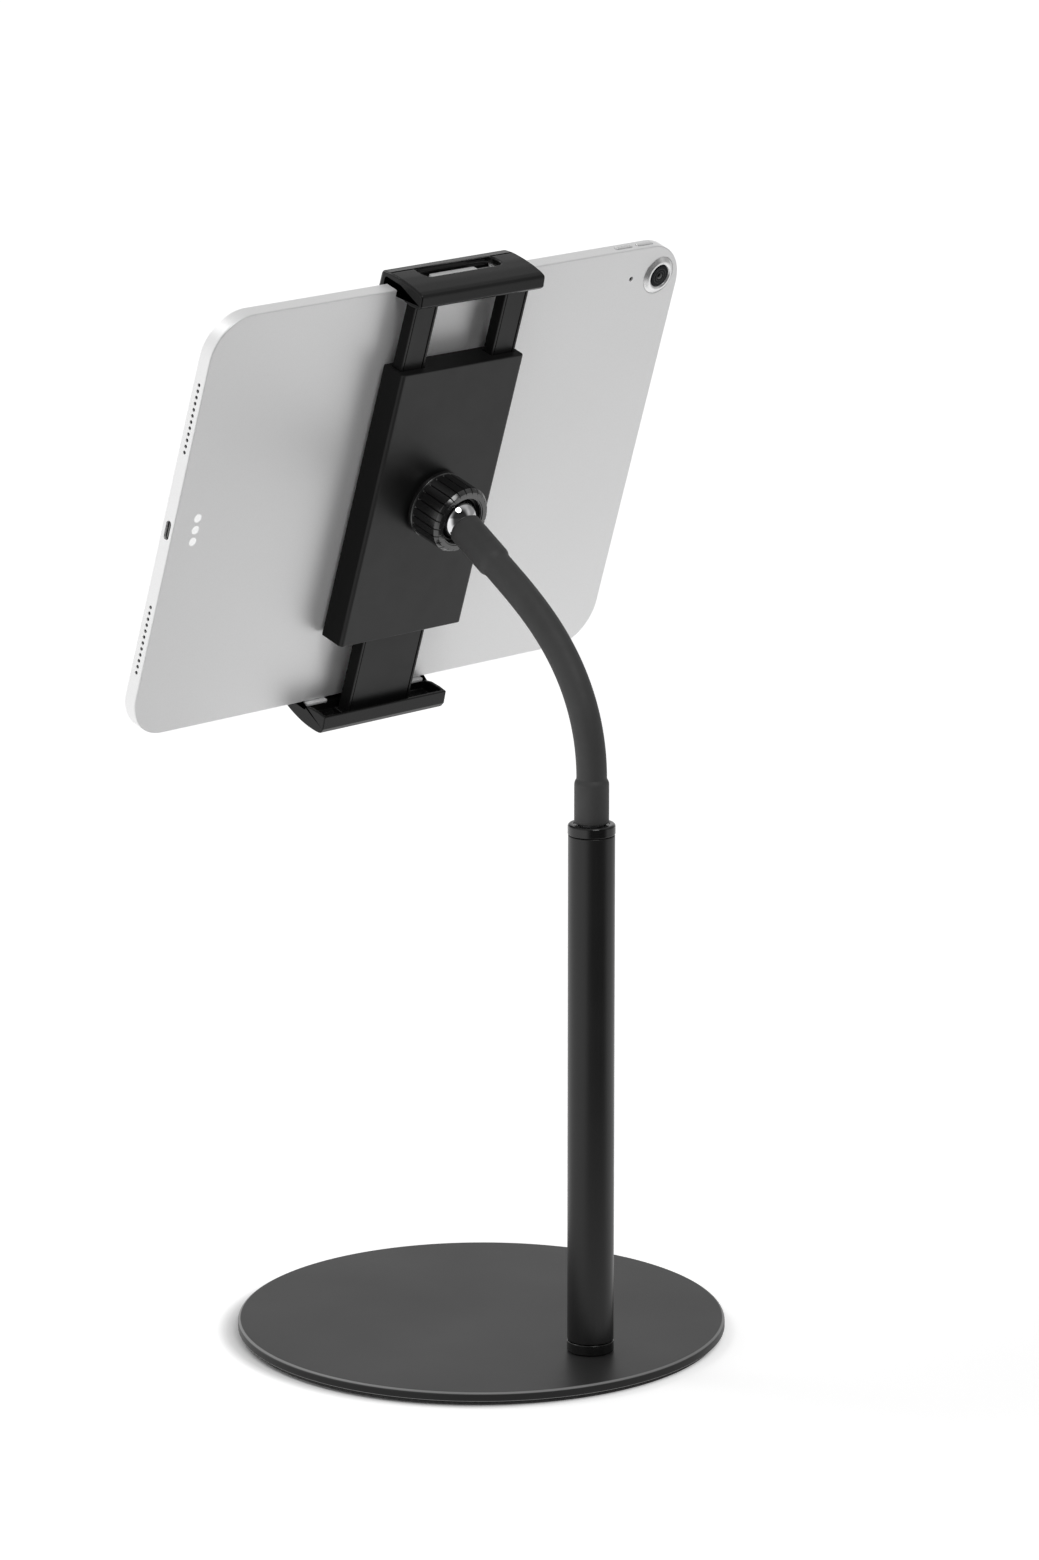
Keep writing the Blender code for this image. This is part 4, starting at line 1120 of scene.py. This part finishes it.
def jaw_shell(name, section, step, lip_y, lip_corner, z_span):
    """A jaw whose two corners on the screen side are rounded in plan."""
    jaw = extrude(name, fillet(section, step=step), -JAW_HALF, JAW_HALF, JAW)
    x = JAW_HALF + 0.1
    plan = fillet([(-x, lip_y, lip_corner), (x, lip_y, lip_corner), (x, 20, 0), (-x, 20, 0)])
    cut(jaw, extrude("keep", plan, *z_span, PLAN), operation="INTERSECT")
    return jaw


def clear_pad(name, x, y, z, arm, nodes=()):
    pad = block(name, x, y, z, 0.35, PLAN, corner=0.9)
    dress(pad, arm, SILICONE, nodes)


jaw = jaw_shell("upper_jaw_shell", UPPER_JAW, 6, -11.4, 3.2, (-100, -80))
cut(jaw, extrude("slot", rect(41.0, 8.2, 3.0, 7, 0.0, -2.1), -97, -88, PLAN))
bevel(jaw, width=0.8, segments=4, angle=42)
dress(jaw, "upper_arm", JAW_PLASTIC, ["upper_jaw"], sharp=45)
# the cheeks are named as seen from the screen side, since z of JAW runs that way
for name, z in (("left", -32.72), ("right", 31.92)):
    cheek = extrude(f"upper_jaw_cheek_{name}", fillet(UPPER_CHEEK, step=15), z,
                    z + CHEEK_THICK, JAW)
    dress(cheek, "upper_arm", JAW_PLASTIC)

jaw = jaw_shell("lower_jaw_shell", LOWER_JAW, 8, -11.5, 2.4, (80, 100))
cut(jaw, block("tray", (-31.2, 31.2), (1.9, 12.1), (80, 93.7), 0.5, PLAN, corner=0.8))
bevel(jaw, width=0.45, segments=3, angle=42)
dress(jaw, "lower_arm", JAW_PLASTIC, ["lower_jaw"], sharp=45)
rail_foot = block("rail_foot", (-18.2, 18.2), (3.0, 11.0), (92.2, 94.2), 0.35, PLAN, corner=0.9)
dress(rail_foot, "lower_arm", JAW_PLASTIC)

for name, span in mirrored(20.8, 31.5):
    clear_pad(f"upper_clear_pad_{name}", span, (-6.7, 1.3), (-90.9, -89.55), "upper_arm",
              [f"upper_pad_{name}"])
clear_pad("upper_clear_pad_middle", (-12.0, 12.0), (-5.3, -0.6), (-90.9, -89.5), "upper_arm")
for name, span in mirrored(20.3, 31.2):
    clear_pad(f"lower_clear_pad_{name}", span, (-6.7, 1.6), (89.55, 90.9), "lower_arm",
              [f"lower_pad_{name}"])

# =====================================================================
# Tablet
# =====================================================================
TABLET_W, TABLET_H, TABLET_CORNER, TABLET_THICK = 247.6, 178.5, 18.0, 6.1
TABLET_WALL, TABLET_BACK = 1.2, 0.9
CAMERA = (112.2, 75.95)
MICROPHONE = (97.1, 76.2)
SPEAKER_Y, SPEAKER_LENGTH, SPEAKER_HOLES = (32.9, -61.1), 28.2, 12     # starts of the rows
# name: (frame, span along the edge, pocket depth span, key depth span)
KEYS = {"volume_up": (PLAN, (87.4, 96.0), (-93, -84), (-89.6, -87.2)),
        "volume_down": (PLAN, (98.8, 107.4), (-93, -84), (-89.6, -87.2)),
        "power": (SIDE, (62.0, 74.0), (120, 130), (121.9, 124.15))}
KEY_Y, KEY_GAP, KEY_GAP_Y = (-3.85, -2.25), 0.35, 0.25


def tablet_body():
    """A rounded tray, open to the screen side."""
    size = (TABLET_W, TABLET_H, TABLET_CORNER)
    outer = slab_rings(*size, edge_levels(-TABLET_THICK, 0.0, 0.45, 0.6, 5), 20)
    inner = slab_rings(*size, [(TABLET_WALL, z) for z in (-TABLET_BACK, -TABLET_THICK)], 20)
    count = len(outer[0])
    back = (len(outer) - 1) * count
    floor_start, rim_start = back + count, back + 2 * count
    faces = []
    for start in range(0, back, count):
        faces += band(start, start + count, count)
    faces.append(tuple(range(back, back + count)))
    faces.append(tuple(range(floor_start, rim_start)))
    for pair in zip(band(floor_start, rim_start, count), band(rim_start, 0, count)):
        faces += pair
    verts = [point for ring in outer + inner for point in ring]
    return make("tablet_back_shell", verts, faces, TAB)


def tablet_openings():
    """Tools for the camera, port, keys, speakers and microphone."""
    tools = [cylinder("hole", CAMERA, 7.9, (-3, 3), TAB, 96),
             block("port", (-3.95, 3.95), (-4.15, -1.45), (-130, -120), 0.3, SIDE, corner=1.3)]
    for place, span, pocket, _ in KEYS.values():
        tools.append(block("pocket", (span[0] - KEY_GAP, span[1] + KEY_GAP),
                           (KEY_Y[0] - KEY_GAP_Y, KEY_Y[1] + KEY_GAP_Y), pocket, 0.2, place,
                           corner=1.0))
    holes = []
    for _, x in mirrored(123.1, 125.0):
        for start in SPEAKER_Y:
            for i in range(SPEAKER_HOLES):
                y = start + SPEAKER_LENGTH * i / (SPEAKER_HOLES - 1)
                holes.append(cylinder("speaker_hole", (y, -2.8), 0.74, x, TAB, 16, axis="x"))
    tools.append(merged("speaker", holes))
    tools.append(cylinder("mic", MICROPHONE, 0.98, (-1.0, 1.0), TAB, 28))
    return tools


body = tablet_body()
cut(body, *tablet_openings())
dress(body, "tablet", ALUMINIUM, ["tablet_housing"], sharp=30)

# polished contacts set into the back near the port side; their white glow is a painted glint
CONTACT_PROFILE = [(0, 0.035, 0), (1.75, 0.035, 0.03), (1.85, -0.3, 0), (0, -0.3, 0)]
for i, y in enumerate((4.55, -0.45, -5.45)):
    contact = lathe(f"edge_contact_{i + 1}", CONTACT_PROFILE, on_back(-112.0, y), 48)
    dress(contact, "tablet", CONTACT)

# camera: (radius, z, corner radius), and (radius, z) for the domed element
BEZEL = [(4.7, 0.75, 0.08), (4.95, 0.98, 0.1), (5.35, 1.28, 0.25), (6.1, 1.3, 0.9),
         (7.1, 0.45, 1.2), (7.75, -0.02, 0.1), (7.75, -1.9, 0), (4.7, -1.9, 0)]
COVER_GLASS = [(0, 1.0, 0), (4.2, 0.96, 0.4), (4.62, 0.7, 0.1), (4.62, -1.8, 0), (0, -1.8, 0)]
ELEMENT = [(0, 1.5), (0.35, 1.47), (0.7, 1.38), (1.0, 1.24), (1.25, 1.06), (1.35, 0.95),
           (1.35, 0.7), (0, 0.7)]
LENS_RIMS = [(2.9, 3.2, 1.05), (1.85, 2.15, 1.1)]      # inner radius, outer radius, top z
CAMERA_FRAME = on_back(*CAMERA)
bezel = lathe("camera_bezel", BEZEL, CAMERA_FRAME, 144, closed=True, step=9)
dress(bezel, "tablet", MACHINED, ["camera_ring"])
lens = lathe("camera_cover_glass", COVER_GLASS, CAMERA_FRAME)
dress(lens, "tablet", LENS, ["camera_lens"])
for i, (inner, outer, top) in enumerate(LENS_RIMS):
    corners = [(inner, top, 0.08), (outer, top, 0.08), (outer, 0.7, 0), (inner, 0.7, 0)]
    lens_rim = lathe(f"camera_lens_rim_{i + 1}", corners, CAMERA_FRAME, 72, closed=True)
    dress(lens_rim, "tablet", LENS_RIM)
element = turned("camera_front_element", ELEMENT, CAMERA_FRAME, 48)
dress(element, "tablet", LENS_ELEMENT)

# dark discs and strips inside the small openings, painted shade for their depth, and the tongue in
# the port
mic_shade = turned("microphone_painted_shade", [(0, -0.72), (0.97, -0.72), (0.97, -0.95), (0, -0.95)],
                on_back(*MICROPHONE), 28)
dress(mic_shade, "tablet", SHADE_FILL)
SHADE_OVERLAP = 1.2
for name, x in mirrored(122.75, 123.25):
    for i, y in enumerate(SPEAKER_Y):
        strip = block(f"speaker_painted_shade_{name}_{i + 1}", x,
                      (y - SHADE_OVERLAP, y + SPEAKER_LENGTH + SHADE_OVERLAP), (-3.8, -1.8), 0.1,
                      TAB)
        dress(strip, "tablet", SHADE_FILL)
tongue = block("port_tongue", (-123.2, -120.2), (-3.1, 3.1), (-3.15, -2.45), 0.12, TAB)
dress(tongue, "tablet", PORT)

for name, (place, span, _, depth) in KEYS.items():
    key = block(f"{name}_key", span, KEY_Y, depth, 0.22, place, corner=0.78)
    dress(key, name, MACHINED, [f"{name}_button"])

GLASS_MARGIN = 1.5
glass = slab("front_glass", TABLET_W - 2 * GLASS_MARGIN, TABLET_H - 2 * GLASS_MARGIN,
             TABLET_CORNER - GLASS_MARGIN, edge_levels(-6.05, -5.35, 0.25, 0.1), TAB, steps=16)
dress(glass, "tablet", SCREEN, ["display_glass"], sharp=40)
area = slab("screen_area", 229.0, 160.0, 12.0, [(0.0, -6.062), (0.0, -5.9)], TAB, steps=12)
dress(area, "tablet", SCREEN_AREA)

# =====================================================================
# CAD nodes that are kept: a procedural finish for each
# =====================================================================
KEPT = {
    "lower_ferrule": ZINC, "upper_ferrule": ZINC, "ball_seat": ACETAL, "thrust_washer": ACETAL,
    "front_plate": HOLDER, "plate_screw_upper_left": ZINC, "plate_screw_upper_right": ZINC,
    "plate_screw_lower_left": ZINC, "plate_screw_lower_right": ZINC, "pinion_axle": ZINC,
    "sync_pinion": NYLON, "display_panel": PANEL, "battery": CELL, "logic_board": BOARD,
}
for name, material in KEPT.items():
    kept = frame["nodes"][name].data
    kept.materials.clear()
    kept.materials.append(material)

# =====================================================================
# Studio: white behind, above and at the sides, dark around the camera
# =====================================================================
HEADING, PITCH = math.radians(45.707), math.radians(13.963)      # of the camera
RIGHT = Vector((-math.sin(HEADING), math.cos(HEADING), 0))
AHEAD = Vector((-math.cos(HEADING), -math.sin(HEADING), 0))
UP = Vector((0, 0, 1))
VIEW = AHEAD * math.cos(PITCH) + Vector((0, 0, -math.sin(PITCH)))
VIEW_DOWN = -AHEAD * math.sin(PITCH) - Vector((0, 0, math.cos(PITCH)))

DARK_WAY = -AHEAD * math.cos(math.radians(30)) + RIGHT * math.sin(math.radians(30))
FLAG_WAY = (RIGHT * 0.88 + AHEAD * 0.47).normalized()  # a black flag behind, on the right
FLAG_EDGE = (0.72, 0.96)               # how closely a direction follows FLAG_WAY
FLOOR_GLOW, FLOOR_GLOW_FAR = 0.44, 0.26                # near the stand; added far away
FLOOR_BOUNCE, FLOOR_DARK = 1.03, 0.05                  # light sent to the objects
FLOOR_LEFT, FLOOR_FLAG = 1.08, 0.58
SKY_BRIGHT, SKY_DARK, SKY_HIGH, SKY_FLAG = 0.98, 0.03, 0.5, 0.3
SKY_SEEN = 1.05                        # backdrop strength for the camera
LEFT_GAIN, RIGHT_GAIN = 1.0, 0.92
FLOOR_HALF, FLOOR_Z = 60, -0.0002


def floor_material():
    """White paper for the camera; for other rays a plain emitter shaped like the studio."""
    m = Mat("floor_white")
    m.set(color=m.mix(m.ramp(m.noise(scale=3.0)), grey(0.90), grey(0.905)), rough=0.9, spec=0.0,
          glow_color=grey(1.0), glow=FLOOR_GLOW)
    place = m.node("ShaderNodeNewGeometry").outputs["Position"]
    bearing = m.vector("NORMALIZE", place)
    away = m.vector("LENGTH", place)
    # painted shadow: the paper glows a little less beside the left rim of the base
    beside = m.vector("DISTANCE", place, -RIGHT * 0.0048 + AHEAD * 0.0022)
    m.set(glow=m.times(m.ramp(away, within=(0.25, 3.0),
                              to=(FLOOR_GLOW, FLOOR_GLOW + FLOOR_GLOW_FAR)),
                       m.ramp(beside, within=(0.094, 0.1015), smooth=True)))
    wedge = m.times(m.toward(bearing, DARK_WAY, within=(0.56, 0.88)),
                    m.ramp(away, within=(0.08, 0.5)))
    flag = m.times(m.toward(bearing, FLAG_WAY, within=FLAG_EDGE),
                   m.ramp(away, within=(0.55, 0.95)))
    sides = m.times(m.toward(place, -RIGHT, within=(0.0, 0.7), to=(1.0, LEFT_GAIN * FLOOR_LEFT)),
                    m.ramp(flag, within=(0.0, 1.0), to=(RIGHT_GAIN, FLOOR_FLAG)))
    bounce = m.node("ShaderNodeEmission")
    m.link(m.times(m.ramp(wedge, within=(0.0, 1.0), to=(FLOOR_BOUNCE, FLOOR_DARK)), sides),
           bounce.inputs["Strength"])
    m.by_viewer(bounce, m.shader, "Material Output")
    return m.material


def studio_world():
    """A plain white backdrop for the camera; other rays see the dark and bright sides."""
    world = bpy.data.worlds.new("studio")
    bpy.context.scene.world = world
    world.use_nodes = True
    w = Nodes(world.node_tree)
    sky = w.tree.nodes["Background"]
    w.feed(sky.inputs["Color"], grey(1.0))
    way = w.node("ShaderNodeTexCoord").outputs["Generated"]
    sides = w.times(w.toward(way, -RIGHT, within=(0.2, 0.9), to=(1.0, LEFT_GAIN)),
                    w.toward(way, FLAG_WAY, within=FLAG_EDGE, to=(RIGHT_GAIN, SKY_FLAG)))
    low = w.times(w.toward(way, DARK_WAY, within=(0.4, 0.85), to=(SKY_BRIGHT, SKY_DARK)), sides)
    high = w.toward(way, UP, within=(0.22, 0.55), to=(1.0, SKY_HIGH))
    w.link(w.times(low, high), sky.inputs["Strength"])
    backdrop = w.node("ShaderNodeBackground")
    w.feed(backdrop.inputs["Color"], grey(1.0))
    backdrop.inputs["Strength"].default_value = SKY_SEEN
    w.by_viewer(sky, backdrop, "World Output")


def softbox(name, size, energy, way, distance):
    """A round area light that looks at the ball joint from the given way."""
    light = bpy.data.lights.new(name, "AREA")
    light.shape = "DISK"
    light.size = size
    light.energy = energy
    ob = add_object(name, light)
    ob.location = BALL + way * distance
    ob.rotation_euler = (-way).to_track_quat("-Z", "Y").to_euler()


def add_camera():
    """A long lens; the target is placed by its offsets from the camera along the view axes."""
    target = Vector((0.0, -0.0388, 0.3328))
    offset_right, offset_down, distance = -0.042151, -0.113311, 2.88279
    camera = bpy.data.cameras.new("camera")
    camera.sensor_width = 36.0
    camera.sensor_height = 36.0
    camera.sensor_fit = "AUTO"
    camera.lens = 171.65
    camera.clip_start = 0.05
    camera.clip_end = 200.0
    ob = add_object("camera", camera)
    eye = target - (RIGHT * offset_right + VIEW_DOWN * offset_down + VIEW * distance)
    ob.matrix_world = frame_of(eye, RIGHT, -VIEW_DOWN, -VIEW)
    bpy.context.scene.camera = ob


floor_mesh = bpy.data.meshes.new("floor")
floor_mesh.from_pydata([(x * FLOOR_HALF, y * FLOOR_HALF, FLOOR_Z)
                        for x, y in ((-1, -1), (1, -1), (1, 1), (-1, 1))], [], [(0, 1, 2, 3)])
floor = add_object("floor", floor_mesh)
floor_mesh.materials.append(floor_material())
studio_world()
softbox("key_softbox", size=1.0, energy=12.0, distance=2.0,
        way=RIGHT * 0.33 - AHEAD * 0.647 + Vector((0, 0, 0.686)))
softbox("rim_softbox", size=0.8, energy=7.0, distance=1.8,
        way=(-RIGHT * 0.62 + AHEAD * 0.23 + Vector((0, 0, 0.744))).normalized())
add_camera()

view = bpy.context.scene.view_settings
view.view_transform = "Standard"
view.look = "None"
view.exposure = 0.0
view.gamma = 1.0
